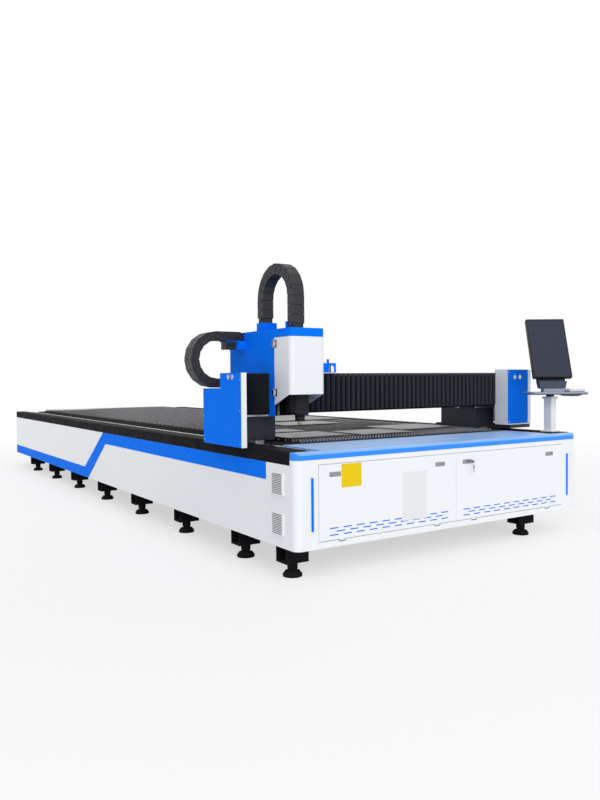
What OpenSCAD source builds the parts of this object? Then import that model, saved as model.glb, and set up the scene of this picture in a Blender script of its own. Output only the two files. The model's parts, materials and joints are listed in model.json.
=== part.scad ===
// Flatbed fiber laser cutting machine with a travelling gantry.
// Millimetres. +X to the right seen from the front, +Y to the rear along the bed, +Z up.
// The origin lies on the floor under the middle of the bed.

/* [Bed] */
// Width over the side panels
bed_w = 2700; // [2500:10:2900]
// Length from the front face to the rear face
bed_l = 7800; // [7200:20:8400]
// Height of the panels' lower edge above the floor
bed_z0 = 200; // [180:5:230]
// Height of the side panels
panel_h = 526; // [500:2:560]
// Thickness of the panels and cabinet walls
sheet_t = 5; // [4:0.5:6]
// Radius of the cabinet's front corners
corner_r = 50; // [30:5:60]
// Distance between the levelling feet
foot_pitch = 1020; // [900:10:1100]
// Width of the foot blocks along X
foot_block_w = 170; // [150:5:180]
// Diameter of the foot pads
foot_pad_d = 126; // [100:2:140]
// Distance of the right front foot from the right side
front_foot_inset = 420; // [300:10:500]

/* [Rail beams] */
// Width of the beam on each side
beam_w = 230; // [220:2:250]
// Height of the beam
beam_h = 85; // [80:1:95]
// Width of the step that holds the rail and the rack
step_w = 105; // [104:1:110]
// Depth of that step
step_d = 36; // [34:1:40]
// Width and height of the guide rail
rail_s = 28; // [24:1:28]

/* [Front cabinet and doors] */
// Depth of the cabinet
cab_d = 355; // [330:5:400]
// Height of the blue rim above the cabinet
rim_h = 48; // [44:1:56]
// Depth of the rim between the rail beams
rim_d = 530; // [500:5:530]
// Height of the rim's upright band
band_h = 30; // [24:1:34]
// Distance of the left door from the left side
door_left_in = 170; // [160:2:200]
// Distance of the right door from the right side
door_right_in = 180; // [160:2:200]
// Height of the doors
door_h = 479; // [460:1:482]
// Depth of the folded door pans
door_t = 20; // [16:1:22]
// Gap around each door
door_gap = 2; // [1.5:0.1:3]
// Length of a ventilation slot
slot_l = 68; // [56:1:76]
// Height of a ventilation slot
slot_h = 8; // [6:0.5:10]

/* [Table] */
// Distance between the slats
slat_pitch = 100; // [90:2:120]
// Thickness of a slat
slat_t = 4; // [3:0.5:5]
// Distance of the slats' ends from the rail beams
slat_gap = 135; // [120:1:160]
// Distance between the teeth
tooth_pitch = 70; // [60:1:80]
// Height of the teeth
tooth_h = 30; // [20:1:36]

/* [Gantry] */
// Setback of the gantry from the front face
gantry_in = 523; // [500:1:560]
// Depth of the gantry beam
cross_d = 150; // [130:2:150]
// Height of the gantry beam
cross_h = 254; // [240:1:270]
// Overhang of the end covers beyond the bed
cover_over = 86; // [80:1:110]
// Distance between the folds of the right bellows
fold_pitch = 50; // [40:1:60]

/* [Carriage] */
// Width of the carriage and head housing
head_w = 278; // [270:1:286]
// Depth of the hinged head cover
cover_d = 215; // [212:1:230]
// Height of the hinged head cover
cover_h = 464; // [445:1:475]
// Radius of the head cover's front corners
cover_r = 35; // [20:1:45]

/* [Drag chains] */
// Width of the cross-travel chain
x_chain_w = 116; // [100:2:120]
// Height of the cross-travel chain
x_chain_h = 66; // [60:1:66]
// Width of the head's chain
z_chain_w = 90; // [70:2:96]
// Height of the head's chain
z_chain_h = 75; // [66:1:75]
// Thickness of a link's side plate
link_t = 7; // [5:0.5:9]

/* [Console] */
// Turn of the console about its post at rest
console_yaw = -33; // [-40:1:-20]
// Height of the post above the rail beam
post_h = 289; // [270:1:330]
// Width of the shelf
shelf_w = 462; // [430:1:500]
// Depth of the shelf
shelf_d = 250; // [230:1:280]
// Width of the monitor
monitor_w = 316; // [280:1:360]
// Height of the monitor
monitor_h = 531; // [480:1:560]
// Backward tilt of the monitor at rest
monitor_tilt = 23.3; // [18:0.1:26]

/* [Hidden] */
$fn = 48;
eps = 0.01;
run_gap = 0.3;
pin_gap = 0.05;
seat_gap = 0.1;
black_paint = "#1b1c1f";
white_paint = "#f2f3f4";
blue_paint = "#1668d8";
steel = "#b9bcc0";
chrome = "#d8dade";
graphite = "#3b3d42";
brass = "#c9a24a";

// Bed places
hw = bed_w / 2;
front = -bed_l / 2;
rear = bed_l / 2;
panel_top = bed_z0 + panel_h;
beam_top = panel_top + beam_h;
beam_in = hw - beam_w;
step_z = beam_top - step_d;
step_out = beam_in + step_w;
cab_y = front + cab_d;
rim_z = beam_top - rim_h - 3;
rim_top = rim_z + rim_h;
beam_y = front + 70;
beam_edge = 6;

// Feet
pad_h = 50;
nut_d = 68;
foot_block_l = 125;
foot_block_z = 93;
foot_wall = 10;
foot_x = hw - 20 - foot_block_w / 2;
front_foot_y = front + 210;
first_foot_y = front + 830;
foot_count = floor((rear - 300 - first_foot_y) / foot_pitch) + 1;
foot_ys = [for (i = [0 : foot_count - 1]) first_foot_y + i * foot_pitch];

// Painted side bands
stripe_h = 113;
stripe_ys = [-295, -217, 311, 432];

// Frame tubes
tube_in = hw - 160;
tube_h = 100;
cross_tube_h = 80;
cross_tube_w = 100;
table_beam_z = panel_top - 166;
comb_z = table_beam_z + cross_tube_h;
upper_tube_z = panel_top - 120;
floor_t = 4;

// Slats and combs
slat_z = panel_top - 26;
tip_z = beam_top + 24;
slat_l = 2 * (beam_in - slat_gap);
comb_in = 40;
slat_y0 = front + 550;
slat_count = floor((rear - 70 - slat_y0) / slat_pitch) + 1;
slat_ys = [for (i = [0 : slat_count - 1]) slat_y0 + i * slat_pitch];
comb_y0 = slat_y0 - 10;
comb_y1 = slat_ys[slat_count - 1] + 20;
comb_top = panel_top + 34;
comb_t = 6;
comb_xs = [-slat_l / 2 + comb_in, -slat_l / 6, slat_l / 6, slat_l / 2 - comb_in];
tooth_count = floor(slat_l / tooth_pitch);
tip_w = 6;
plate_t = 3;
plates = [[[-950, 150], [-400, 600]], [[-330, 90], [180, 520]], [[-820, 700], [-450, 980]],
    [[260, 330], [880, 820]], [[-200, 1380], [420, 1860]], [[120, 2050], [900, 3050]]];

// Doors
door_z0 = bed_z0 + 46;
door_z1 = door_z0 + door_h;
door_x0 = -hw + door_left_in;
door_x1 = hw - door_right_in;
door_proud = 1;
sill_z = door_z0 - 4;
hinge_y = front + 6;
hinge_z = door_z0 - 7;
hinge_pin_r = 3;
hinge_r = 5;
hinge_l = 40;
hinge_ear = 8;
hinge_in = 180;
fork_half = hinge_l / 2 + hinge_ear;
frame_lip = 8;
frame_d = 30;
slot_pitch = 106;
slot_rows = [[0, 10, 74], [0.5, 9, 53], [0, 10, 31]];

// Latches: the flange is set into the door and the lever folds out of its cup
latch_z = door_z1 - 65;
latch_w = 90;
latch_h = 30;
latch_flange = 2;
cup_w = 82;
cup_h = 24;
cup_d = 14;
lever_l = 52;
lever_h = 18;
lever_t = 5;
lever_gap = 0.4;
lever_pivot = -34;
barrel_x = 31;
barrel_r = 7;
latch_xs_left = [door_x0 + 125, -155];
latch_xs_right = [110, door_x1 - 158];

// Gantry places
gy = front + gantry_in;
cross_y0 = gy + 187;
cross_y1 = cross_y0 + cross_d;
saddle_z = beam_top + 14;
saddle_t = 25;
saddle_top = beam_top + 202;
flange_t = 18;
flange_over = 15;
cross_z1 = saddle_top + cross_h;
cross_x = hw - 50;
cross_wall = 10;
saddle_y0 = gy + 264;
saddle_y1 = gy + 747;
saddle_in = beam_in - 100;
saddle_out = beam_in + 130;
riser_d = 153;
inner_wall_t = 40;
inner_wall_in = 70;
apron_t = 6;
notch_w = 57;
notch_h = 25;
notch_xs = [saddle_in + 90, saddle_out - 52];
rail_in = beam_in + 8;
rail_mid = rail_in + rail_s / 2;
rack_s = 22;
rack_z = step_z + 6;
rail_top = step_z + rail_s;
pinion_r = 20;
pinion_tip = pinion_r - run_gap;
pinion_teeth = 20;
pinion_h = 20;
pinion_x = step_out - rack_s - pinion_r;
pinion_y = gy + 507;
shaft_r = 8;
gear_bore_r = 22;
reducer_s = 80;
reducer_h = 80;
motor_s = 70;
motor_h = 190;
block_w = 70;
block_l = 110;
cover_arm_y = saddle_y0 + 120;
cover_arm_w = 40;

// End covers
cover_x = hw + cover_over;
cover_t = 3;
trim_w = 40;
panel_t = 3;
step_y = gy + 307;
cover_y1 = gy + 577;
box_y = cross_y1 + 5;
cover_z1 = beam_top + 494;
cover_low_z1 = beam_top + 387;
right_z1 = beam_top + 514;
box_z0 = saddle_z + saddle_t + 5;
box_in = hw - 204;
right_in = hw - 211;
nose_y = gy + 142;

// Cross-travel guides
x_rail_h = 23;
x_rail_d = 18;
x_rail_in = 32;
x_rail_zs = [saddle_top + x_rail_in, cross_z1 - x_rail_in - x_rail_h];
x_rack_y = cross_y0 + 90;
x_pinion_y = x_rack_y + rack_s + pinion_r;

// Bellows
fold_y = gy + 133;
fold_d = 30;
fold_t = 3;
fold_top = cross_z1 + 2 + fold_t + fold_d;
fold_z0 = saddle_top + 14;
fold_back = cross_y0 + 60;

// Carriage and head
head_x0 = -hw + 210;
head_x1 = head_x0 + head_w;
head_cx = head_x0 + 140;
head_y0 = gy + 64;
head_y1 = gy + 717;
head_top = beam_top + 794;
wall_t = 4;
plate_y0 = cross_y0 - 52;
plate_d = 20;
bridge_z = cross_z1 + 37;
bridge_t = 18;
skirt_z = beam_top + 193;
cover_y0 = head_y0 - cover_d;
cover_z = head_top - 59 - cover_h;
cap_z = head_top - 57;
cap_top = head_top - 1;
screw_y = plate_y0 - 14;
screw_r = 8;
z_rail_w = 20;
z_rail_d = 12;
z_rail_xs = [head_cx - 75, head_cx + 75];
z_plate_y = plate_y0 - 48;
z_plate_z0 = beam_top + 329;
z_plate_z1 = beam_top + 499;
laser_y = gy - 38;
nozzle_z = beam_top + 131;
cone_z = nozzle_z + 28;
body_z = nozzle_z + 78;
body_z1 = nozzle_z + 208;
hinge_axis_x = head_x0 - 6;
hinge_axis_y = head_y0 - 1;
cover_hinge_zs = [cover_z + 87, cap_z - 45];
cover_hinge_l = 30;

// Valve tray
tray_l = 304;
tray_w = 90;
tray_h = 70;
valve_xs = [102, 182, 262];
valve_r = 24;
valve_h = 52;
stem_h = 40;
stem_r = 9;

// Drag chain places
bar_t = 4.5;
lid_gap = 14;
x_chain_y = gy + 545;
x_arc_links = 8;
x_chain_low_z = cover_low_z1 + 5 + x_chain_h / 2;
x_chain_r = 170;
x_pitch = 2 * x_chain_r * sin(90 / x_arc_links);
x_low_links = 17;
x_up_links = 3;
x_end_l = 29;
x_arc_x = head_x0 - seat_gap - x_end_l - x_up_links * x_pitch;
x_top_z = x_chain_low_z + 2 * x_chain_r;
chain_shelf_z = x_top_z - x_chain_h / 2 - 1;
chain_shelf_t = 5;
chain_shelf_l = 150;
chain_apron_l = 63;
chain_apron_h = 64;
chain_clamp_h = 56;
z_chain_x = head_x0 + 85;
z_chain_r = 202.5;
z_arc_links = 10;
z_pitch = 2 * z_chain_r * sin(90 / z_arc_links);
z_leg_links = 2;
z_rear_y = gy + 323;
z_arc_y = z_rear_y - z_chain_r;
z_base = head_top + 59;
z_front_base = z_base - z_pitch;
z_foot_h = 14;
z_leg_z = z_base + z_chain_h / 2 - 4;
seat_lo = [z_chain_x - 51, z_rear_y - 55];
seat_hi = [z_chain_x + 62, z_rear_y + 41];
collar_h = 48;
collar_over = 10;
z_arc_z = z_leg_z + z_leg_links * z_pitch;
z_front_y = z_rear_y - 2 * z_chain_r;

// Console places
post_x = hw - 70;
post_y = front + 200;
post_z1 = beam_top + post_h;
spigot_r = 15;
shelf_z = post_z1 + 17;
shelf_t = 22;
shelf_left = 190;
shelf_front = 140;
bracket_z = shelf_z + shelf_t;
tilt_y = -58;
tilt_z = bracket_z + 123;
tilt_pin_r = 5;
tilt_r = 12;
tilt_half = 40;
ear_t = 14;
neck_h = 28;
bracket_h = 60;
bracket_foot = 100;
bracket_half = 114;
bracket_y0 = -112;
bracket_y1 = -34;
monitor_t = 35;
screen_t = 3;
bezel = 12;
monitor_x = -13;
monitor_back = 14.4;
monitor_foot = 26;
remote_l = 160;
remote_w = 74;
remote_h = 22;
mouse_l = 105;
mouse_w = 56;
mouse_h = 30;

// Box from its lowest to its highest corner
module box(lo, hi) {
    translate(lo) cube(hi - lo);
}

// Prism along X of an outline drawn in Y and Z
module along_x(x0, x1) {
    translate([x0, 0, 0]) rotate([90, 0, 90]) linear_extrude(x1 - x0) children();
}

// Prism along Y of an outline drawn in X and Z
module along_y(y0, y1) {
    translate([0, y1, 0]) rotate([90, 0, 0]) linear_extrude(y1 - y0) children();
}

module both_sides() {
    children();
    mirror([1, 0, 0]) children();
}

module rect(lo, hi) {
    translate(lo) square(hi - lo);
}

// Rectangle whose four corners are round
module round_rect(lo, hi, r) {
    rect([lo.x + r, lo.y], [hi.x - r, hi.y]);
    rect([lo.x, lo.y + r], [hi.x, hi.y - r]);
    for (x = [lo.x + r, hi.x - r], y = [lo.y + r, hi.y - r]) translate([x, y]) circle(r);
}

// Rectangle whose two front corners are round
module round_front(lo, hi, r) {
    rect([lo.x, lo.y + r], hi);
    rect([lo.x + r, lo.y], [hi.x - r, hi.y]);
    for (x = [lo.x + r, hi.x - r]) translate([x, lo.y + r]) circle(r);
}

// Slot with round ends, centred, along the first axis
module slot(l, h) {
    rect([-l / 2 + h / 2, -h / 2], [l / 2 - h / 2, h / 2]);
    for (x = [-l / 2 + h / 2, l / 2 - h / 2]) translate([x, 0]) circle(h / 2);
}

// Welded tubes that carry the rail beams and the table
module bed_frame() color(black_paint) {
    y0 = cab_y;
    y1 = rear - sheet_t;
    out = hw - sheet_t;
    both_sides() {
        box([tube_in, y0, bed_z0], [out, y1, bed_z0 + tube_h]);
        box([beam_in + 5, y0, upper_tube_z], [out, y1, panel_top]);
        for (y = foot_ys) box([tube_in, y - 60, bed_z0 + tube_h - eps], [out, y + 60, upper_tube_z + eps]);
    }
    half = cross_tube_w / 2;
    reach = tube_in + eps;
    upper_reach = beam_in + 5 + eps;
    floor_z = bed_z0 + cross_tube_h;
    for (y = foot_ys) {
        box([-reach, y - half, bed_z0], [reach, y + half, floor_z]);
        box([-upper_reach, y - half, table_beam_z], [upper_reach, y + half, comb_z]);
    }
    box([-reach, y0, floor_z - eps], [reach, y1, floor_z + floor_t]);
}

// Square tube stub under the bed with a screwed foot below it
module levelling_foot() {
    w = foot_block_w / 2;
    l = foot_block_l / 2;
    r = foot_pad_d / 2;
    n = nut_d / 2;
    difference() {
        box([-w, -l, foot_block_z], [w, l, bed_z0]);
        box([-w - 1, -l + foot_wall, foot_block_z + foot_wall], [w + 1, l - foot_wall, bed_z0 - foot_wall]);
    }
    rotate_extrude() polygon([[0, 0], [r, 0], [r, 16], [r - 16, 36], [n - 6, 42],
        [n - 6, pad_h], [n, pad_h], [n, foot_block_z], [0, foot_block_z]]);
}

module levelling_feet() color(black_paint) {
    for (y = foot_ys, x = [-foot_x, foot_x]) translate([x, y, 0]) levelling_foot();
    for (x = [-foot_x, hw - front_foot_inset]) translate([x, front_foot_y, 0]) levelling_foot();
}

module side_panel() {
    box([hw - sheet_t, cab_y, bed_z0], [hw, rear, panel_top]);
}

module side_panel_left() color(white_paint) mirror([1, 0, 0]) side_panel();

module side_panel_right() color(white_paint) side_panel();

module rear_panel() color(white_paint) along_y(rear - sheet_t, rear) {
    rect([-hw + sheet_t, bed_z0], [hw - sheet_t, panel_top]);
    rect([-beam_in, panel_top - eps], [beam_in, comb_top]);
}

// Painted band along the side: high at the front, low at the rear
module side_band() along_x(hw, hw + 1) polygon([
    [cab_y, panel_top - stripe_h], [cab_y, panel_top], [stripe_ys[1], panel_top],
    [stripe_ys[3], bed_z0 + stripe_h], [rear, bed_z0 + stripe_h], [rear, bed_z0],
    [stripe_ys[2], bed_z0], [stripe_ys[0], panel_top - stripe_h]]);

// Side bands and the two upright bars beside the doors
module blue_trim() color(blue_paint) {
    both_sides() side_band();
    for (x = [-hw + 120, hw - 120])
        along_y(front - 6, front) translate([x, bed_z0 + 282]) rotate(90) slot(335, 15);
}

// Places of a door's two hinges
function hinge_xs(x0, x1) = [x0 + hinge_in, x1 - hinge_in];

all_hinges = concat(hinge_xs(door_x0, -door_gap / 2), hinge_xs(door_gap / 2, door_x1));

// Folded cabinet with one wide door opening, a middle post and beds for the rail beams
module front_cabinet() color(white_paint) {
    difference() {
        union() {
            difference() {
                translate([0, 0, bed_z0]) linear_extrude(rim_z - bed_z0)
                    round_front([-hw, front], [hw, cab_y], corner_r);
                translate([0, 0, bed_z0 + sheet_t]) linear_extrude(rim_z - bed_z0)
                    round_front([-hw + sheet_t, front + sheet_t], [hw - sheet_t, cab_y - sheet_t],
                        corner_r - sheet_t);
                both_sides() box([beam_in, beam_y, panel_top], [hw + 1, cab_y + 1, rim_z + 1]);
            }
            along_y(front + sheet_t - eps, front + frame_d)
                rect([door_x0 - frame_lip, sill_z - frame_lip],
                    [door_x1 + frame_lip, door_z1 + door_gap + frame_lip]);
        }
        along_y(front - 1, front + frame_d + 1)
            rect([door_x0 - door_gap, sill_z], [door_x1 + door_gap, door_z1 + door_gap]);
        for (x = all_hinges) translate([x, 0, 0])
            box([-fork_half - 1, front - 1, hinge_z - 9], [fork_half + 1, front + 16, door_z0]);
    }
    box([-30, front + door_t + 4, sill_z - eps], [30, front + frame_d, door_z1 + door_gap + eps]);
}

// Fork and pin on the sill for each door hinge
module door_hinge_brackets() color(steel) for (x = all_hinges) {
    for (s = [-1, 1]) translate([x + s * (hinge_l / 2 + 0.5 + hinge_ear / 2), 0, 0])
        box([-hinge_ear / 2, front + 1, hinge_z - 9], [hinge_ear / 2, front + 11, hinge_z + hinge_r - 0.5]);
    translate([x, hinge_y, hinge_z]) rotate([0, 90, 0])
        cylinder(h = hinge_l + 2, r = hinge_pin_r, center = true);
}

// Louvred grille, raised on the cabinet's side
module vent_grille() {
    along_x(hw, hw + 2) rect([-73, -73], [73, 73]);
    along_x(hw + 2 - eps, hw + 12) difference() {
        round_rect([-73, -73], [73, 73], 6);
        for (i = [0 : 11]) translate([0, -60.5 + i * 11]) slot(122, 6);
    }
}

module vent_grilles() color(white_paint) both_sides() for (z = [bed_z0 + 148, bed_z0 + 402])
    translate([0, front + 208, z]) vent_grille();

// Folded blue cap over the cabinet, bevelled along the front
module front_rim() color(blue_paint) difference() {
    intersection() {
        translate([0, 0, rim_z]) linear_extrude(rim_h) {
            round_front([-hw, front], [hw, beam_y], corner_r);
            rect([-beam_in + 2, beam_y - eps], [beam_in - 2, front + rim_d]);
        }
        along_x(-hw - 1, hw + 1) polygon([[front, rim_z], [front, rim_z + band_h], [front + 14, rim_top - 4],
            [front + 30, rim_top], [front + rim_d, rim_top], [front + rim_d, rim_z]]);
    }
    box([-beam_in + 6, front + 20, rim_z - 1], [beam_in - 6, front + rim_d - 4, rim_top - 5]);
    both_sides() box([beam_in, beam_y, rim_z - 1], [hw + 1, front + rim_d, rim_top + 1]);
}

// Side beam with a step for the rail and the rack
module rail_beams() color(black_paint) both_sides() along_y(beam_y, rear) polygon([
    [beam_in, panel_top], [hw, panel_top], [hw, beam_top - beam_edge], [hw - beam_edge, beam_top],
    [step_out, beam_top], [step_out, step_z], [beam_in, step_z]]);

// Guide rail of a given width, standing on the first axis
module rail_section(s) polygon([[0, 0], [s, 0], [s, s * 0.36], [s * 0.8, s * 0.5], [s * 0.8, s * 0.64],
    [s, s * 0.78], [s, s], [0, s], [0, s * 0.78], [s * 0.2, s * 0.64], [s * 0.2, s * 0.5], [0, s * 0.36]]);

module y_tracks() color(steel) both_sides() along_y(beam_y + 20, rear - 20) {
    translate([rail_in, step_z]) rail_section(rail_s);
    rect([step_out - rack_s, rack_z], [step_out, rack_z + rack_s]);
}

// Notched bars that hold the slats
module slat_combs() color(black_paint) {
    n = slat_t / 2 + run_gap;
    outline = concat([[comb_y0, comb_z], [comb_y0, comb_top]],
        [for (y = slat_ys, p = [[-n, comb_top], [-n, slat_z], [n, slat_z], [n, comb_top]]) [y + p.x, p.y]],
        [[comb_y1, comb_top], [comb_y1, comb_z]]);
    for (x = comb_xs) along_x(x - comb_t / 2, x + comb_t / 2) polygon(outline);
}

// Upright strips with sawtooth tops
module slats() color(graphite) {
    x0 = -tooth_count * tooth_pitch / 2;
    root_z = tip_z - tooth_h;
    half = tooth_pitch / 2;
    tooth = [[0, root_z], [half - tip_w / 2, tip_z], [half + tip_w / 2, tip_z]];
    teeth = [for (i = [0 : tooth_count - 1], p = tooth) [x0 + i * tooth_pitch + p.x, p.y]];
    outline = concat([[x0, slat_z]], teeth, [[-x0, root_z], [-x0, slat_z]]);
    for (y = slat_ys) along_y(y - slat_t / 2, y + slat_t / 2) polygon(outline);
}

// Loose sheets lying on the slats
module table_plates() color(steel) for (p = plates)
    box([p[0].x, slat_y0 + p[0].y, tip_z], [p[1].x, slat_y0 + p[1].y, tip_z + plate_t]);

// Door pan with slots, cut-outs for the latches and two hinge knuckles
module door(x0, x1, latch_xs, slot_x) difference() {
    union() {
        difference() {
            box([x0, front - door_proud, door_z0], [x1, front - door_proud + door_t, door_z1]);
            box([x0 + 3, front - door_proud + 3, door_z0 + 3], [x1 - 3, front + door_t, door_z1 - 3]);
            along_y(front - door_proud - 1, front + 4) {
                for (row = slot_rows, i = [0 : row[1] - 1])
                    translate([slot_x + slot_l / 2 + (i + row[0]) * slot_pitch, door_z0 + row[2]])
                        slot(slot_l, slot_h);
                for (x = latch_xs) translate([x, latch_z])
                    rect([-cup_w / 2, -cup_h / 2], [cup_w / 2, cup_h / 2]);
            }
        }
        for (x = hinge_xs(x0, x1)) translate([x, 0, 0]) {
            translate([0, hinge_y, hinge_z]) rotate([0, 90, 0])
                cylinder(h = hinge_l, r = hinge_r, center = true);
            box([-hinge_l / 2, hinge_y - 3, hinge_z], [hinge_l / 2, hinge_y + 3, door_z0 + 1]);
        }
    }
    for (x = hinge_xs(x0, x1)) translate([x, hinge_y, hinge_z]) rotate([0, 90, 0])
        cylinder(h = hinge_l + 2, r = hinge_pin_r + pin_gap, center = true);
}

module door_left() color(white_paint) door(door_x0, -door_gap / 2, latch_xs_left, door_x0 + 80);

module door_right() color(white_paint) door(door_gap / 2, door_x1, latch_xs_right, 70);

// Blue sheet behind a door's slots
module slot_backing(x0) box([x0 - 14, front - door_proud + 3, door_z0 + 14],
    [x0 + slot_l + 9 * slot_pitch + 14, front - door_proud + 4.5, door_z0 + 92]);

module slot_backing_left() color(blue_paint) slot_backing(door_x0 + 80);

module slot_backing_right() color(blue_paint) slot_backing(70);

// Outline of the recess that the lever lies in
module lever_recess() rect([lever_pivot - 4, -lever_h / 2 - lever_gap],
    [lever_pivot + lever_l + 1, lever_h / 2 + lever_gap]);

// Flush latch: flange, cup and lock barrel
module latch_housing() translate([0, front - door_proud, latch_z]) {
    along_y(-latch_flange, 0) difference() {
        round_rect([-latch_w / 2, -latch_h / 2], [latch_w / 2, latch_h / 2], 6);
        lever_recess();
    }
    difference() {
        along_y(-eps, cup_d) rect([-cup_w / 2, -cup_h / 2], [cup_w / 2, cup_h / 2]);
        along_y(-1, cup_d - 3) lever_recess();
    }
    translate([barrel_x, 0, 0]) rotate([90, 0, 0]) cylinder(h = latch_flange + 2, r = barrel_r);
}

module latch_housings(xs) for (x = xs) translate([x, 0, 0]) latch_housing();

module latch_housings_left() color(chrome) latch_housings(latch_xs_left);

module latch_housings_right() color(chrome) latch_housings(latch_xs_right);

// Lever that lies in the latch cup, round at its pivot
module latch_lever(x) color(chrome)
    translate([x + lever_pivot, front - door_proud - latch_flange, latch_z - lever_h / 2])
        linear_extrude(lever_h) {
            translate([0, lever_t / 2]) circle(lever_t / 2);
            rect([0, 0], [lever_l - lever_t / 2, lever_t]);
            translate([lever_l - lever_t / 2, lever_t / 2]) circle(lever_t / 2);
        }

module latch_lever_1() latch_lever(latch_xs_left[0]);

module latch_lever_2() latch_lever(latch_xs_left[1]);

module latch_lever_3() latch_lever(latch_xs_right[0]);

module latch_lever_4() latch_lever(latch_xs_right[1]);

// Key in the lock with a ring and a second key
key_y = front - door_proud - latch_flange - 2 - run_gap;
module key_set() color(chrome) translate([latch_xs_right[0] + barrel_x, key_y, latch_z]) {
    along_y(-12, 0) rect([-1.2, -4], [1.2, 4]);
    along_y(-34, -11) rect([-1.2, -9], [1.2, 9]);
    translate([0, -24, -16]) rotate([0, 90, 0]) rotate_extrude() translate([12, 0]) circle(1.6);
    along_y(-33, -31) {
        translate([0, -38]) circle(10);
        rect([-3, -74], [3, -40]);
    }
}

// Square box beam across the machine
module gantry_beam() color(black_paint) along_x(-cross_x, cross_x) difference() {
    rect([cross_y0, saddle_top], [cross_y1, cross_z1]);
    rect([cross_y0 + cross_wall, saddle_top + cross_wall], [cross_y1 - cross_wall, cross_z1 - cross_wall]);
}

// Foot of the gantry: sole, riser, inner wall, top flange, notched apron and the end cover's arm
module saddle() {
    sole_z1 = saddle_z + saddle_t;
    flange_z = saddle_top - flange_t;
    riser_y1 = saddle_y0 + riser_d;
    difference() {
        box([saddle_in, saddle_y0, saddle_z], [saddle_out, saddle_y1, sole_z1]);
        translate([pinion_x, pinion_y, saddle_z - 1]) cylinder(h = saddle_t + 2, r = gear_bore_r);
    }
    box([saddle_in, saddle_y0, sole_z1 - eps], [saddle_out, riser_y1, flange_z + eps]);
    box([saddle_in, riser_y1 - eps, sole_z1 - eps],
        [saddle_in + inner_wall_t, saddle_y1 - inner_wall_in, flange_z]);
    box([saddle_in - flange_over, saddle_y0 - flange_over, flange_z],
        [saddle_out + flange_over, riser_y1 + flange_over, saddle_top]);
    along_y(saddle_y0 - apron_t, saddle_y0 + eps) difference() {
        rect([saddle_in, saddle_z], [saddle_out, flange_z + eps]);
        for (x = notch_xs) translate([x, saddle_z])
            polygon([[-notch_w / 2, -eps], [notch_w / 2, -eps], [0, notch_h]]);
    }
    box([saddle_out - eps, cover_arm_y - cover_arm_w / 2, saddle_z + 3],
        [cover_x - cover_t, cover_arm_y + cover_arm_w / 2, sole_z1]);
}

module saddles() color(black_paint) {
    both_sides() saddle();
    box([right_in + trim_w, gy + 7, saddle_z], [cover_x - cover_t, saddle_y0 + eps, box_z0]);
}

// Runner blocks on the bed's guide rails
module bearing_blocks() color(steel) both_sides() for (y = [saddle_y0 + 8, saddle_y1 - block_l - 8])
    along_y(y, y + block_l) difference() {
        rect([rail_mid - block_w / 2, step_z + 10], [rail_mid + block_w / 2, saddle_z]);
        rect([rail_in - run_gap, step_z], [rail_in + rail_s + run_gap, rail_top + run_gap]);
    }

// Servo motor on a reducer whose bore takes the pinion's shaft
module gear_motor(reducer_side, motor_side, motor_len) {
    difference() {
        translate([0, 0, reducer_h / 2]) cube([reducer_side, reducer_side, reducer_h], center = true);
        translate([0, 0, -1]) cylinder(h = 30, r = shaft_r + pin_gap);
    }
    translate([0, 0, reducer_h - eps]) linear_extrude(motor_len)
        round_rect([-motor_side / 2, -motor_side / 2], [motor_side / 2, motor_side / 2], 8);
}

module y_motors() color(black_paint) for (s = [-1, 1])
    translate([s * pinion_x, pinion_y, saddle_z + saddle_t]) gear_motor(reducer_s, motor_s, motor_h);

// Toothed wheel below its shaft
module pinion(shaft_len) {
    linear_extrude(pinion_h) {
        circle(pinion_tip - 4);
        for (i = [0 : pinion_teeth - 1]) rotate(i * 360 / pinion_teeth)
            polygon([[pinion_tip - 5, -2.1], [pinion_tip - 0.1, -0.9],
                [pinion_tip - 0.1, 0.9], [pinion_tip - 5, 2.1]]);
    }
    translate([0, 0, pinion_h - eps]) cylinder(h = shaft_len, r = shaft_r);
}

module y_pinion(side) color(steel) translate([side * pinion_x, pinion_y, rack_z + 1])
    pinion(saddle_z + saddle_t + 25 - rack_z - 1 - pinion_h);

module y_pinion_left() y_pinion(-1);

module y_pinion_right() y_pinion(1);

// Folded cover over the left end of the gantry: tall in front, low over the motor
module end_cover_left() color(blue_paint) difference() {
    union() {
        box([-cover_x, gy, beam_top - 5], [-cover_x + trim_w, step_y, cover_z1]);
        box([-cover_x, step_y - eps, beam_top - 5], [-cover_x + trim_w, cover_y1, cover_low_z1]);
        box([-cover_x, box_y, box_z0], [-box_in, cover_y1, cover_low_z1]);
    }
    box([-cover_x + cover_t, gy + cover_t, 0], [0, step_y - cover_t, cover_z1 - cover_t]);
    box([-cover_x + cover_t, step_y - cover_t - 1, 0], [0, cover_y1 - cover_t, cover_low_z1 - cover_t]);
}

// Cover over the right end: a closed nose in front and a low box over the motor
module end_cover_right() color(white_paint) difference() {
    union() {
        box([right_in, gy, box_z0], [cover_x, nose_y, right_z1]);
        box([cover_x - trim_w, nose_y - eps, box_z0], [cover_x, box_y, right_z1]);
        box([cover_x - trim_w, box_y - eps, box_z0], [cover_x, cover_y1, cover_low_z1]);
        box([box_in, box_y, box_z0], [cover_x, cover_y1, cover_low_z1]);
    }
    box([right_in + cover_t, gy + cover_t, 0], [cover_x - cover_t, nose_y + eps, right_z1 - cover_t]);
    box([0, nose_y, 0], [cover_x - cover_t, box_y - cover_t, right_z1 - cover_t]);
    box([0, box_y - cover_t - 1, 0], [cover_x - cover_t, cover_y1 - cover_t, cover_low_z1 - cover_t]);
}

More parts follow.
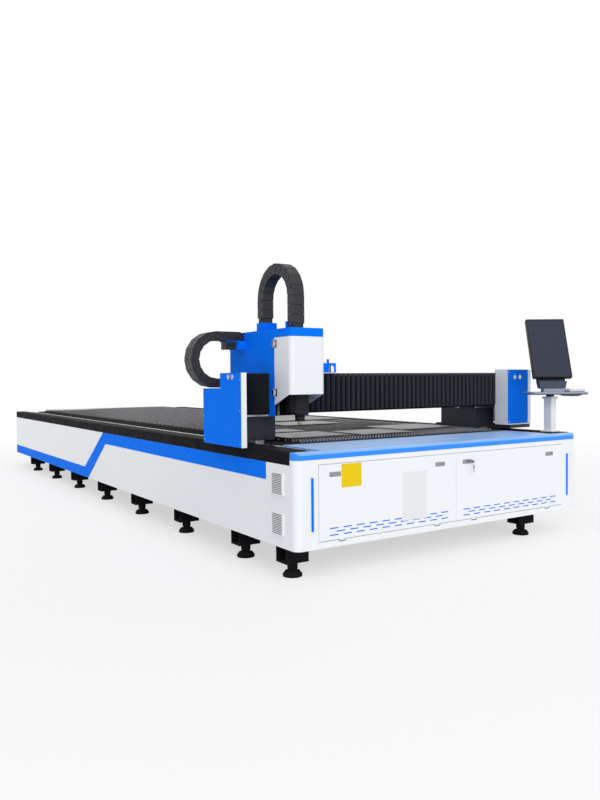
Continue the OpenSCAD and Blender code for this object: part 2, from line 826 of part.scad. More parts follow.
// Blue front panel and lid of the right cover, one folded sheet
module end_panel_right() color(blue_paint) along_x(right_in + 1, cover_x - trim_w)
    polygon([[gy, box_z0 + 10], [gy, right_z1], [nose_y, right_z1], [nose_y, right_z1 + panel_t],
        [gy - panel_t, right_z1 + panel_t], [gy - panel_t, box_z0 + 10]]);

module x_tracks() color(steel) {
    x1 = right_in - 4;
    for (z = x_rail_zs) along_x(-cross_x, x1) rect([cross_y0 - x_rail_d, z], [cross_y0, z + x_rail_h]);
    box([-cross_x, x_rack_y, cross_z1], [x1, x_rack_y + rack_s, cross_z1 + rack_s]);
}

// Folded skin in front of and over the guides, pleated along X
function fold_ring(x, d) = let (y = fold_y + d, z = fold_top - d)
    [[x, y, fold_z0], [x, y, z], [x, fold_back, z],
    [x, fold_back, z - fold_t], [x, y + fold_t, z - fold_t], [x, y + fold_t, fold_z0]];

module bellows(x0, x1, pleats) {
    n = 2 * pleats;
    rings = [for (i = [0 : n]) fold_ring(x0 + (x1 - x0) * i / n, i % 2 == 0 ? fold_d : 0)];
    sides = [for (i = [0 : n - 1], k = [0 : 5])
        let (a = 6 * i + k, b = 6 * i + (k + 1) % 6) [a, b, b + 6, a + 6]];
    ends = [[5, 4, 3, 2, 1, 0], [for (k = [0 : 5]) 6 * n + k]];
    polyhedron([for (r = rings, p = r) p], concat(sides, ends));
}

module bellows_left() color(black_paint) bellows(-cover_x + trim_w, head_x0 - 3, 16);

module bellows_right() color(black_paint)
    bellows(head_x1 + 3, right_in, round((right_in - head_x1) / fold_pitch));

// One chain link between two pivots, with snapped-on bars; odd links run inside even ones
module chain_link(pitch, w, h, inner) {
    half = w / 2 - (inner ? link_t + run_gap : 0);
    r = h / 2 - bar_t;
    for (s = [-1, 1]) along_y(s > 0 ? half - link_t : -half, s > 0 ? half : -half + link_t)
        translate([pitch / 2, 0]) slot(pitch + 2 * r, 2 * r);
    for (s = [-1, 1]) box([lid_gap / 2, -half, s > 0 ? r - 0.5 : -h / 2],
        [pitch - lid_gap / 2, half, s > 0 ? h / 2 : -r + 0.5]);
}

// Row of links along +X from the first pivot
module chain_run(n, pitch, w, h, first) for (i = [0 : n - 1])
    translate([i * pitch, 0, 0]) chain_link(pitch, w, h, (i + first) % 2 == 1);

// Links on a half circle in X and Z, from below round -X to above
module chain_arc(n, r, pitch, w, h, first) for (i = [0 : n - 1])
    rotate([0, i * 180 / n, 0]) translate([0, 0, -r]) rotate([0, 90 / n, 0]) translate([-pitch, 0, 0])
        chain_link(pitch, w, h, (i + first) % 2 == 1);

module x_chain_lower() color(black_paint) translate([x_arc_x, x_chain_y, x_chain_low_z]) {
    end_x = x_low_links * x_pitch;
    half = x_chain_w / 2;
    foot_z = -x_chain_h / 2;
    chain_run(x_low_links, x_pitch, x_chain_w, x_chain_h, 0);
    box([end_x - 8, -half, foot_z], [end_x + 30, half, foot_z + 6]);
}

module x_chain_loop() color(black_paint) translate([x_arc_x, x_chain_y, x_chain_low_z + x_chain_r])
    chain_arc(x_arc_links, x_chain_r, x_pitch, x_chain_w, x_chain_h, 1);

// Upper run with its end fork on the housing's wall and a cable clamp under the shelf
module x_chain_upper() color(black_paint) {
    translate([x_arc_x, x_chain_y, x_top_z]) {
        chain_run(x_up_links, x_pitch, x_chain_w, x_chain_h, 1);
        end_x = x_up_links * x_pitch;
        end_half = x_chain_h / 2;
        for (s = [-1, 1]) box([end_x - 10, s > 0 ? 38 : -46, -20], [end_x + x_end_l, s > 0 ? 46 : -38, 20]);
        box([end_x + x_end_l - 6, -50, -end_half], [end_x + x_end_l, 50, end_half]);
    }
    clamp_z = chain_shelf_z - chain_shelf_t;
    box([head_x0 - chain_shelf_l, x_chain_y - 50, clamp_z - chain_clamp_h],
        [head_x0 - chain_apron_l - 1, x_chain_y + 30, clamp_z]);
}

// Arch of links over the head with a foot under each leg; the front leg is one link longer
module z_chain_arch() color(black_paint) translate([z_chain_x, 0, 0]) rotate([0, 0, 90]) {
    legs = [[z_front_y, z_front_base, z_leg_links + 1], [z_rear_y, z_base, z_leg_links]];
    foot_half = z_chain_w / 2 - 2;
    for (leg = legs) translate([leg[0], 0, leg[1]]) {
        translate([0, 0, z_leg_z - z_base]) rotate([0, -90, 0])
            chain_run(leg[2], z_pitch, z_chain_w, z_chain_h, 1);
        box([-28, -foot_half, 0], [28, foot_half, z_foot_h]);
    }
    translate([z_arc_y, 0, z_arc_z]) rotate([0, 90, 0])
        chain_arc(z_arc_links, z_chain_r, z_pitch, z_chain_w, z_chain_h, 0);
}

// Trough behind the beam for the chain's lower run
module chain_tray() color(black_paint) {
    x0 = -box_in + 6;
    x1 = x_arc_x + x_low_links * x_pitch + 40;
    z0 = x_chain_low_z - x_chain_h / 2 - 6;
    half = x_chain_w / 2 + 4;
    along_x(x0, x1) difference() {
        rect([x_chain_y - half - 4, z0], [x_chain_y + half + 4, z0 + 32]);
        rect([x_chain_y - half, z0 + 6], [x_chain_y + half, z0 + 40]);
    }
    for (x = [x0 + 40, (x0 + x1) / 2, x1 - 40])
        box([x - 15, cross_y1, z0 - 20], [x + 15, x_chain_y + half, z0 + eps]);
}

// Upright plate with its bridge over the beam, runner blocks, head rails and screw bearing
module carriage_plate() color(black_paint) {
    x0 = head_x0 + wall_t;
    x1 = head_x1 - wall_t;
    box([x0, plate_y0, skirt_z], [x1, plate_y0 + plate_d, bridge_z + bridge_t]);
    difference() {
        box([x0, plate_y0 + plate_d - eps, bridge_z], [x1, cross_y1 + 50, bridge_z + bridge_t]);
        translate([head_cx, x_pinion_y, bridge_z - 1]) cylinder(h = bridge_t + 2, r = gear_bore_r);
    }
    for (z = x_rail_zs, x = [x0 + 10, x1 - 90]) along_x(x, x + 80) difference() {
        rect([plate_y0 + plate_d - eps, z - 13], [cross_y0 - 4, z + x_rail_h + 13]);
        rect([cross_y0 - x_rail_d - run_gap, z - run_gap], [cross_y0, z + x_rail_h + run_gap]);
    }
    for (x = z_rail_xs)
        box([x - z_rail_w / 2, plate_y0 - z_rail_d, skirt_z + 6],
            [x + z_rail_w / 2, plate_y0 + eps, bridge_z]);
    box([head_cx - 20, screw_y - 12, skirt_z + 20], [head_cx + 20, plate_y0 + eps, skirt_z + 40]);
}

// Housing over the carriage: walls, roof, cap over the head cover, seat and collar of the head's chain
module head_housing() color(blue_paint) {
    difference() {
        box([head_x0, head_y0, bridge_z - 9], [head_x1, head_y1, head_top]);
        box([head_x0 + wall_t, head_y0 - 1, 0], [head_x1 - wall_t, head_y1 - wall_t, head_top - wall_t]);
    }
    for (x = [head_x0, head_x1 - wall_t])
        box([x, head_y0, skirt_z], [x + wall_t, plate_y0 + plate_d, bridge_z]);
    translate([0, 0, cap_z]) difference() {
        linear_extrude(cap_top - cap_z) round_front([head_x0, cover_y0], [head_x1, head_y0 + eps], cover_r);
        translate([0, 0, -1]) linear_extrude(cap_top - cap_z - wall_t + 1)
            round_front([head_x0 + wall_t, cover_y0 + wall_t], [head_x1 - wall_t, head_y0 + 1],
                cover_r - wall_t);
        box([z_chain_x - z_chain_w / 2 - 5, z_front_y - z_chain_h / 2 - 6, 0],
            [z_chain_x + z_chain_w / 2 + 5, z_front_y + z_chain_h / 2 + 6, cap_top]);
    }
    box([seat_lo.x, seat_lo.y, head_top - eps], [seat_hi.x, seat_hi.y, z_base]);
    collar_y = z_front_y + z_chain_h / 2 + 6;
    collar_half = z_chain_w / 2 + collar_over;
    box([z_chain_x - collar_half, collar_y, cap_top - eps],
        [z_chain_x + collar_half, collar_y + wall_t, cap_top + collar_h]);
    x_chain_shelf();
    for (z = cover_hinge_zs) head_hinge_fork(z);
}

// Shelf under the end of the cross-travel chain, with an apron in front
module x_chain_shelf() {
    half = x_chain_w / 2 - 4;
    front_y = x_chain_y - half - 30;
    box([head_x0 - chain_shelf_l, x_chain_y - half, chain_shelf_z - chain_shelf_t],
        [head_x0 + eps, x_chain_y + half, chain_shelf_z]);
    box([head_x0 - chain_apron_l, front_y, chain_shelf_z - chain_apron_h],
        [head_x0 + eps, x_chain_y - half + eps, chain_shelf_z]);
}

// Fork and pin that carry the head cover's knuckle
module head_hinge_fork(z) {
    for (s = [-1, 1]) translate([0, 0, z + s * (cover_hinge_l / 2 + 5.5) - 5]) linear_extrude(10) {
        translate([hinge_axis_x, hinge_axis_y]) circle(6);
        rect([hinge_axis_x - 6, hinge_axis_y], [head_x0 + eps, hinge_axis_y + 20]);
    }
    translate([hinge_axis_x, hinge_axis_y, z]) cylinder(h = cover_hinge_l + 4, r = 3, center = true);
}

// Hinged white cover, round at the front corners, its lower edge rising towards the front
module head_cover() color(white_paint) difference() {
    union() {
        translate([0, 0, cover_z]) linear_extrude(cover_h) difference() {
            round_front([head_x0, cover_y0], [head_x1, head_y0 - 1], cover_r);
            round_front([head_x0 + cover_t, cover_y0 + cover_t], [head_x1 - cover_t, head_y0],
                cover_r - cover_t);
        }
        for (z = cover_hinge_zs) translate([0, 0, z - cover_hinge_l / 2]) linear_extrude(cover_hinge_l) {
            translate([hinge_axis_x, hinge_axis_y]) circle(6);
            rect([hinge_axis_x, hinge_axis_y - 12], [head_x0 + cover_t, hinge_axis_y]);
        }
    }
    along_x(head_x0 - 20, head_x1 + 1) polygon([[cover_y0 - 1, cover_z - 1], [cover_y0 - 1, cover_z + 74],
        [cover_y0 + 30, cover_z + 74], [head_y0 - 1, cover_z], [head_y0 - 1, cover_z - 1]]);
    for (z = cover_hinge_zs) translate([hinge_axis_x, hinge_axis_y, z])
        cylinder(h = cover_hinge_l + 2, r = 3 + pin_gap, center = true);
}

// Valve tray that stands out to the right of the housing, its front wall cut out at the last valve
module valve_bracket() color(blue_paint) {
    z0 = fold_top + 4;
    y0 = gy + 145;
    difference() {
        along_x(head_x1, head_x1 + tray_l) difference() {
            rect([y0, z0], [y0 + tray_w, z0 + tray_h]);
            rect([y0 + wall_t, z0 + wall_t], [y0 + tray_w - wall_t, z0 + tray_h + 1]);
        }
        along_y(y0 - 1, y0 + wall_t + 1) translate([head_x1 + valve_xs[2], z0 + wall_t]) {
            rect([-valve_r, 0], [valve_r, valve_h / 2]);
            translate([0, valve_h / 2]) circle(valve_r);
        }
    }
    for (x = valve_xs) translate([head_x1 + x, y0 + tray_w / 2, z0 + wall_t - eps]) {
        cylinder(h = valve_h, r = valve_r);
        translate([0, 0, valve_h - eps]) cylinder(h = stem_h, r = stem_r);
    }
}

module x_motor() color(black_paint) translate([head_cx, x_pinion_y, bridge_z + bridge_t])
    gear_motor(70, 60, 130);

module x_pinion() color(steel) translate([head_cx, x_pinion_y, cross_z1 + 2])
    pinion(bridge_z + bridge_t + 25 - cross_z1 - 2 - pinion_h);

// Motor of the head's screw, on a bracket at the front of the bridge
module z_motor() color(black_paint) {
    z0 = bridge_z + bridge_t;
    difference() {
        union() {
            box([head_cx - 45, screw_y - 32, z0 + 12], [head_cx + 45, plate_y0 + 60, z0 + 24]);
            box([head_cx - 45, plate_y0 + 4, z0], [head_cx + 45, plate_y0 + 60, z0 + 12 + eps]);
            translate([0, 0, z0 + 24 - eps]) linear_extrude(150)
                round_rect([head_cx - 30, screw_y - 30], [head_cx + 30, screw_y + 30], 6);
        }
        translate([head_cx, screw_y, z0]) cylinder(h = 40, r = screw_r + pin_gap);
    }
}

module z_screw() color(steel) translate([head_cx, screw_y, skirt_z + 40 + run_gap])
    cylinder(h = bridge_z + bridge_t + 35 - skirt_z - 40, r = screw_r);

// Sliding plate with runner blocks, nut, arm to the laser head and post to the chain
module z_plate() color(graphite) {
    box([head_cx - 95, z_plate_y, z_plate_z0], [head_cx + 95, z_plate_y + plate_d, z_plate_z1]);
    groove = z_rail_w / 2 + run_gap;
    for (x = z_rail_xs, z = [z_plate_z0 + 10, z_plate_z1 - 60])
        translate([x, 0, z]) linear_extrude(50) difference() {
            rect([-24, z_plate_y + plate_d - eps], [24, plate_y0 - 4]);
            rect([-groove, plate_y0 - z_rail_d - run_gap], [groove, plate_y0]);
        }
    difference() {
        box([head_cx - 25, z_plate_y + plate_d - eps, z_plate_z0 + 75],
            [head_cx + 25, plate_y0 - 3, z_plate_z0 + 105]);
        translate([head_cx, screw_y, z_plate_z0 + 70]) cylinder(h = 40, r = screw_r + run_gap);
    }
    box([head_cx - 45, laser_y + 42, z_plate_z0 + 40], [head_cx + 45, z_plate_y + eps, z_plate_z1 - 10]);
    post_y0 = z_front_y - 30;
    box([z_chain_x - 35, z_plate_y - 40, z_plate_z1 - 60], [z_chain_x + 35, z_plate_y + eps, cap_z - 110]);
    box([z_chain_x - 35, post_y0, cap_z - 150], [z_chain_x + 35, z_plate_y - 39, cap_z - 110 + eps]);
    box([z_chain_x - 35, post_y0, cap_z - 110], [z_chain_x + 35, post_y0 + 60, z_front_base - seat_gap]);
}

// Cutting head: collimator block, chamfered body and focus barrel
module laser_head() color(graphite) translate([head_cx, laser_y, 0]) {
    translate([0, 0, body_z1 - eps]) linear_extrude(180) round_rect([-42, -42], [42, 42], 8);
    translate([0, 0, body_z]) linear_extrude(body_z1 - body_z)
        polygon([[-55, -30], [-35, -50], [35, -50], [55, -30], [55, 30], [35, 50], [-35, 50], [-55, 30]]);
    translate([0, 0, cone_z]) cylinder(h = body_z - cone_z + eps, r = 33.5);
}

module nozzle() color(brass) translate([head_cx, laser_y, nozzle_z]) difference() {
    rotate_extrude() polygon([[0, 0], [3, 0], [14, 16], [16, 16], [16, 28], [0, 28]]);
    translate([0, 0, -1]) cylinder(h = 12, r = 1.2);
}

// Post on the right rail beam with a spigot for the swivelling shelf
module console_post() color(white_paint) translate([post_x, post_y, 0]) {
    box([-48, -60, beam_top], [48, 60, beam_top + 10]);
    translate([0, 0, beam_top + 10 - eps]) linear_extrude(post_h - 10) round_rect([-30, -40], [30, 40], 8);
    translate([0, 0, post_z1 - 20]) linear_extrude(20) round_rect([-40, -50], [40, 50], 10);
    translate([0, 0, post_z1 - eps]) cylinder(h = 30, r = spigot_r);
}

// Places its children in the console's own frame, turned about the post
module at_console() translate([post_x, post_y, 0]) rotate(console_yaw) children();

module console_shelf() color(white_paint) at_console() difference() {
    union() {
        translate([0, 0, shelf_z]) linear_extrude(shelf_t)
            round_rect([-shelf_left, -shelf_front], [shelf_w - shelf_left, shelf_d - shelf_front], 40);
        translate([0, 0, post_z1 + run_gap]) cylinder(h = shelf_z - post_z1, r = 32);
        translate([165, -20, shelf_z]) rotate_extrude()
            polygon([[0, -16], [60, -14], [85, -6], [95, eps], [0, eps]]);
    }
    translate([0, 0, post_z1]) cylinder(h = 30.5, r = spigot_r + pin_gap);
}

// Neck, flared box with shoulders behind the monitor, and the fork of its tilt pivot
module monitor_bracket() color(graphite) at_console() {
    box_z = bracket_z + neck_h;
    box_z1 = box_z + bracket_h;
    ear_in = tilt_half + 1;
    ear_out = ear_in + ear_t;
    translate([0, 0, bracket_z]) linear_extrude(neck_h) round_rect([-90, bracket_y0], [80, bracket_y1], 10);
    translate([monitor_x, 0, 0]) {
        along_y(bracket_y0, bracket_y1) polygon([[-bracket_foot, box_z - eps], [bracket_foot, box_z - eps],
            [bracket_half, box_z1], [-bracket_half, box_z1]]);
        for (s = [-1, 1]) {
            along_x(s > 0 ? ear_in : -ear_out, s > 0 ? ear_out : -ear_in) {
                translate([tilt_y, tilt_z]) circle(tilt_r);
                rect([tilt_y - 10, box_z1 - 1], [tilt_y + 10, tilt_z]);
            }
            along_y(tilt_y - 8, bracket_y1)
                rect([s > 0 ? ear_out - eps : -bracket_half, box_z1 - eps],
                    [s > 0 ? bracket_half : -ear_out + eps, tilt_z + 8]);
        }
        along_x(-tilt_half - 2, tilt_half + 2) translate([tilt_y, tilt_z]) circle(tilt_pin_r);
    }
}

// Places its children in the monitor's frame: the pivot is the origin and the screen faces -Y
module at_monitor() at_console()
    translate([monitor_x, tilt_y, tilt_z]) rotate([-monitor_tilt, 0, 0]) children();

module screen_outline() rect([-monitor_w / 2 + bezel, bezel - monitor_foot],
    [monitor_w / 2 - bezel, monitor_h - monitor_foot - bezel]);

module monitor() color(black_paint) at_monitor() difference() {
    union() {
        along_y(-monitor_back - monitor_t + screen_t, -monitor_back)
            round_rect([-monitor_w / 2, -monitor_foot], [monitor_w / 2, monitor_h - monitor_foot], 8);
        along_y(-monitor_back - monitor_t, -monitor_back - monitor_t + screen_t + eps) difference() {
            round_rect([-monitor_w / 2, -monitor_foot], [monitor_w / 2, monitor_h - monitor_foot], 8);
            screen_outline();
        }
        along_x(-tilt_half, tilt_half) {
            circle(tilt_r);
            rect([-monitor_back - 1, -9], [0, 9]);
        }
    }
    along_x(-tilt_half - 1, tilt_half + 1) circle(tilt_pin_r + pin_gap);
}

module monitor_screen() color(graphite) at_monitor()
    along_y(-monitor_back - monitor_t + 0.5, -monitor_back - monitor_t + screen_t) screen_outline();

// Hand-held remote and mouse lying on the shelf
module desk_controls() color(white_paint) at_console() translate([0, 0, bracket_z]) {
    shelf_right = shelf_w - shelf_left;
    translate([shelf_right - remote_l / 2 - 2, -45, 0]) rotate(20) linear_extrude(remote_h)
        round_rect([-remote_l / 2, -remote_w / 2], [remote_l / 2, remote_w / 2], 14);
    translate([shelf_right - mouse_l - 40, 65, 0]) rotate(10) linear_extrude(mouse_h) slot(mouse_l, mouse_w);
}

bed_frame();
levelling_feet();
side_panel_left();
side_panel_right();
rear_panel();
blue_trim();
front_cabinet();
vent_grilles();
front_rim();
rail_beams();
y_tracks();
slat_combs();
slats();
table_plates();
door_hinge_brackets();
console_post();
door_left();
slot_backing_left();
latch_housings_left();
latch_lever_1();
latch_lever_2();
latch_lever_3();
latch_lever_4();
door_right();
slot_backing_right();
latch_housings_right();
key_set();
gantry_beam();
saddles();
bearing_blocks();
x_tracks();
end_cover_left();
end_cover_right();
end_panel_right();
y_motors();
chain_tray();
bellows_left();
bellows_right();
x_chain_lower();
y_pinion_left();
y_pinion_right();
carriage_plate();
head_housing();
x_chain_upper();
z_chain_arch();
valve_bracket();
x_motor();
z_motor();
x_pinion();
z_screw();
x_chain_loop();
z_plate();
laser_head();
nozzle();
head_cover();
console_shelf();
monitor_bracket();
desk_controls();
monitor();
monitor_screen();
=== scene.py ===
"""Looks of a flatbed laser cutter: finishes and modelled detail around its solid parts."""

import json
import math

import bmesh
import bpy
from mathutils import Matrix, Vector


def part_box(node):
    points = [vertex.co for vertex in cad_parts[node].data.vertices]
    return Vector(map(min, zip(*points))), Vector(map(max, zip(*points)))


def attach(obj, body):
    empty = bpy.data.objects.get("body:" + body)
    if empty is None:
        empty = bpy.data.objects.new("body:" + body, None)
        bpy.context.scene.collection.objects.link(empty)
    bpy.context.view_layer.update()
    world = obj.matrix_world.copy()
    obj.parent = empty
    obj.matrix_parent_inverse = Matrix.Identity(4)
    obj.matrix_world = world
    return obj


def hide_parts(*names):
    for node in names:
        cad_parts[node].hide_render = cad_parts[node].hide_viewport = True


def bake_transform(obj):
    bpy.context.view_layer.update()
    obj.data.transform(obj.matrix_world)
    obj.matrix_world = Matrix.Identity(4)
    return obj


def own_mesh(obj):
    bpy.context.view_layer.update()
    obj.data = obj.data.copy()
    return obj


bl_info = {
    "name": "Laser Cutter Dressing",
    "version": (1, 0, 0),
    "blender": (4, 5, 0),
    "location": "3D View > Sidebar > Cutter",
    "description": "Finishes and modelled detail for a flatbed laser cutter",
    "category": "Object",
}

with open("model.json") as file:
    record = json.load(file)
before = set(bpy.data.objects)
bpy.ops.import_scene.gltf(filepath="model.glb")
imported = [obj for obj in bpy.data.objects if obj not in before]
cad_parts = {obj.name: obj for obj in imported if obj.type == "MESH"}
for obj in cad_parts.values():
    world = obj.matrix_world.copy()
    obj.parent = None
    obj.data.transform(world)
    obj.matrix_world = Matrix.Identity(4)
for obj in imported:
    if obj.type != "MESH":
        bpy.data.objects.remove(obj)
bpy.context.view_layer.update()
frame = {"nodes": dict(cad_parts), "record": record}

MM = 0.001
X_AXIS = Vector((1, 0, 0))
Y_AXIS = Vector((0, 1, 0))
Z_AXIS = Vector((0, 0, 1))

# Camera found from the straight edges of the bed, gantry and cabinet
IMAGE_HEIGHT = 800
FOCAL_PIXELS = 722.2
SENSOR = 36.0
CAMERA_PLACE = (-3.7046, -7.5735, 1.2539)
CAMERA_YAW = 33.053
CAMERA_PITCH = -1.5962
CAMERA_ROLL = -0.46157

# Least cosine between a face's normal and the way it has to look to be picked
FACING = 0.9
# A screw head's lift, depth, wall, lip, socket and rounding as shares of its radius
SCREW_SHARES = (0.2, 0.9, 0.42, 0.04, 0.4, 0.12)
# Grey of the console, and the heights where its bracket and its shelf change colour
CONSOLE_GREY = (0.29, 0.33, 0.43)
BRACKET_EDGE = 1166.5 * MM
SHELF_EDGE = 1125 * MM

materials = {}
groups = {}


class FinishColours(bpy.types.PropertyGroup):
    """Colours of the machine's finishes"""

    white: bpy.props.FloatVectorProperty(
        name="White", description="Powder coat of the panels",
        subtype="COLOR", default=(0.83, 0.85, 0.885))
    blue: bpy.props.FloatVectorProperty(
        name="Blue", description="Powder coat of the covers",
        subtype="COLOR", default=(0.0006, 0.185, 0.97))
    rim: bpy.props.FloatVectorProperty(
        name="Rim", description="Glossy coat of the front rim",
        subtype="COLOR", default=(0.02, 0.27, 0.95))
    black: bpy.props.FloatVectorProperty(
        name="Black", description="Powder coat of the beams",
        subtype="COLOR", default=(0.0075, 0.0078, 0.009))
    cloth: bpy.props.FloatVectorProperty(
        name="Bellows", description="Coated cloth of the bellows",
        subtype="COLOR", default=(0.028, 0.032, 0.044))
    chain: bpy.props.FloatVectorProperty(
        name="Chain", description="Moulded drag chain links",
        subtype="COLOR", default=(0.022, 0.023, 0.026))
    plate: bpy.props.FloatVectorProperty(
        name="Plate", description="Blank plate on the left door",
        subtype="COLOR", default=(0.82, 0.58, 0.003))


class DetailSizes(bpy.types.PropertyGroup):
    """Sizes of the modelled detail"""

    tooth_pitch: bpy.props.FloatProperty(
        name="Tooth Pitch", description="Distance between slat teeth", unit="LENGTH", default=28 * MM)
    tooth_height: bpy.props.FloatProperty(
        name="Tooth Height", description="Height of a slat tooth", unit="LENGTH", default=30 * MM)
    pleat_pitch: bpy.props.FloatProperty(
        name="Pleat Pitch", description="Distance between bellows pleats", unit="LENGTH", default=46 * MM)
    joint_gap: bpy.props.FloatProperty(
        name="Joint Gap", description="Gap between chain links", unit="LENGTH", default=2 * MM)
    console_turn: bpy.props.FloatProperty(
        name="Console Turn", description="Turn of the console about its post at rest, in degrees",
        default=-33.0)


class StageSettings(bpy.types.PropertyGroup):
    """Floor and lights"""

    floor_size: bpy.props.FloatProperty(
        name="Floor Size", description="Side of the floor", unit="LENGTH", default=160.0)
    ambient: bpy.props.FloatProperty(
        name="Ambient", description="Strength of the light from all round", default=0.52)
    sun: bpy.props.FloatProperty(
        name="Sun", description="Strength of the soft key light", default=1.75)


def deselect():
    """Back to object mode with nothing selected."""
    if bpy.context.mode != "OBJECT":
        bpy.ops.object.mode_set(mode="OBJECT")
    bpy.ops.object.select_all(action="DESELECT")


def activate(piece):
    """Makes a piece the only selected one."""
    deselect()
    piece.select_set(True)
    bpy.context.view_layer.objects.active = piece


def settle(piece):
    """Puts a piece's place, turn and size into its mesh."""
    activate(piece)
    bpy.ops.object.transform_apply(location=True, rotation=True, scale=True)
    return piece


def new_piece(name):
    """Names the primitive that was just added and settles it."""
    piece = bpy.context.object
    piece.name = name
    piece.data.name = name
    return settle(piece)


def block(name, low, high):
    """A box from its lowest to its highest corner."""
    deselect()
    low, high = Vector(low), Vector(high)
    bpy.ops.mesh.primitive_cube_add(size=1, location=(low + high) / 2, scale=high - low)
    return new_piece(name)


def drum(name, centre, radius, depth, axis=Z_AXIS, sides=24):
    """A cylinder along an axis."""
    deselect()
    turn = Z_AXIS.rotation_difference(Vector(axis)).to_euler()
    bpy.ops.mesh.primitive_cylinder_add(
        vertices=sides, radius=radius, depth=depth, location=centre, rotation=turn)
    return new_piece(name)


def edit(piece, kind="FACE"):
    """Opens a piece in edit mode with nothing selected."""
    activate(piece)
    bpy.ops.object.mode_set(mode="EDIT")
    bpy.ops.mesh.select_mode(type=kind)
    bpy.ops.mesh.select_all(action="DESELECT")


def pick_faces(piece, test):
    """Selects the faces whose middle and normal pass a test."""
    mesh = bmesh.from_edit_mesh(piece.data)
    for face in mesh.faces:
        face.select_set(test(face.calc_center_median(), face.normal))
    mesh.select_flush_mode()
    bmesh.update_edit_mesh(piece.data)


def pick_points(piece, test):
    """Selects the points whose place passes a test."""
    mesh = bmesh.from_edit_mesh(piece.data)
    for point in mesh.verts:
        point.select_set(test(point.co))
    mesh.select_flush_mode()
    bmesh.update_edit_mesh(piece.data)


def move(offset):
    """Moves what is selected."""
    bpy.ops.transform.translate(value=tuple(offset))


def close_edit():
    """Leaves edit mode."""
    bpy.ops.object.mode_set(mode="OBJECT")


def apply_modifier(piece, kind, **values):
    """Adds a modifier with the given values and applies it."""
    activate(piece)
    modifier = piece.modifiers.new(kind.title(), kind)
    for name, value in values.items():
        setattr(modifier, name, value)
    bpy.ops.object.modifier_apply(modifier=modifier.name)
    return piece


def round_edges(piece, width, segments=2, angle=40):
    """Rounds the edges that are sharper than an angle."""
    apply_modifier(piece, "BEVEL", width=width, segments=segments, limit_method="ANGLE",
                   angle_limit=math.radians(angle), use_clamp_overlap=True)
    smooth(piece)
    apply_modifier(piece, "WEIGHTED_NORMAL", keep_sharp=True)
    return piece


def smooth(piece, angle=35):
    """Smooths over the edges that are less sharp than an angle."""
    activate(piece)
    bpy.ops.object.shade_smooth_by_angle(angle=math.radians(angle))
    return piece


def join(name, parts):
    """Joins several pieces into one."""
    deselect()
    for part in parts:
        part.select_set(True)
    bpy.context.view_layer.objects.active = parts[0]
    if len(parts) > 1:
        bpy.ops.object.join()
    parts[0].name = name
    parts[0].data.name = name
    return parts[0]


def copy_piece(piece, name, matrix):
    """A copy of a piece with its own mesh, put in place by a matrix."""
    twin = piece.copy()
    twin.data = piece.data.copy()
    twin.name = name
    bpy.context.collection.objects.link(twin)
    twin.data.transform(matrix)
    return twin


def repeat(piece, count, step, **values):
    """Repeats a piece by a step."""
    return apply_modifier(piece, "ARRAY", count=count, use_relative_offset=False, use_constant_offset=True,
                          constant_offset_displace=step, **values)


def soft_block(name, low, high, radius):
    """A box with rounded edges."""
    return round_edges(block(name, low, high), radius)


def inset_faces(piece, test, *steps, single=False):
    """Insets the faces that pass a test, once for each thickness and depth."""
    edit(piece)
    pick_faces(piece, test)
    for thickness, depth in steps:
        bpy.ops.mesh.inset(thickness=thickness, depth=depth, use_individual=single)
    close_edit()
    return piece


def spin(degrees, axis):
    """A turn about an axis of the frame."""
    return Matrix.Rotation(math.radians(degrees), 4, axis)


def screw(name, place, axis, radius):
    """A socket screw's head that stands on a face and looks along an axis."""
    axis = Vector(axis)
    lift, depth, wall, lip, socket, edge = (radius * share for share in SCREW_SHARES)
    head = drum(name, Vector(place) + axis * lift, radius, depth, axis, 12)
    inset_faces(head, lambda c, n: n.dot(axis) > FACING, (wall, 0), (lip, -socket))
    return round_edges(head, edge, 1)


def dress(piece, body, slot, replaced=(), material=None):
    """Gives a piece the material of its slot, or another named one, and the body it rides, if it rides one
    alone; hides the solids it replaces.
    """
    piece.data.materials.clear()
    piece.data.materials.append(materials[material or slot])
    if body:
        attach(piece, body)
    if replaced:
        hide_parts(*replaced)
    return piece


def body_of(node):
    """The body that carries a solid."""
    bodies = frame["record"]["behaviour"]["bodies"]
    return next(name for name, nodes in bodies.items() if node in nodes)


def slot_of(node):
    """The record's material slot of a solid."""
    return next(s["material_slot"] for s in frame["record"]["subparts"] if s["node"] == node)


def joint_of(name):
    """The record's joint of a name."""
    return next(j for j in frame["record"]["behaviour"]["joints"] if j["name"] == name)


# Shader node groups


def new_group(name, inputs, outputs):
    """A node group with named sockets; gives it with the sockets of its inside ends."""
    group = bpy.data.node_groups.new(name, "ShaderNodeTree")
    kinds = {1: "NodeSocketFloat", 3: "NodeSocketVector", 4: "NodeSocketColor"}
    for label, value in inputs.items():
        size = len(value) if isinstance(value, tuple) else 1
        socket = group.interface.new_socket(label, in_out="INPUT", socket_type=kinds[size])
        socket.default_value = value
    for label in outputs:
        kind = "NodeSocketColor" if label == "Color" else "NodeSocketFloat"
        group.interface.new_socket(label, in_out="OUTPUT", socket_type=kind)
    start, end = group.nodes.new("NodeGroupInput"), group.nodes.new("NodeGroupOutput")
    return group, start.outputs, end.inputs


def add(tree, kind, **values):
    """Adds a node and sets its input sockets by name."""
    node = tree.nodes.new(kind)
    for name, value in values.items():
        node.inputs[name.title()].default_value = value
    return node


def wire(tree, *ends):
    """Links pairs of sockets."""
    for source, target in zip(ends[::2], ends[1::2]):
        tree.links.new(source, target)


def put(tree, socket, value):
    """Sets a socket to a value, or links another socket to it."""
    if isinstance(value, bpy.types.NodeSocket):
        tree.links.new(value, socket)
    else:
        socket.default_value = (*value, 1) if socket.type == "RGBA" else value


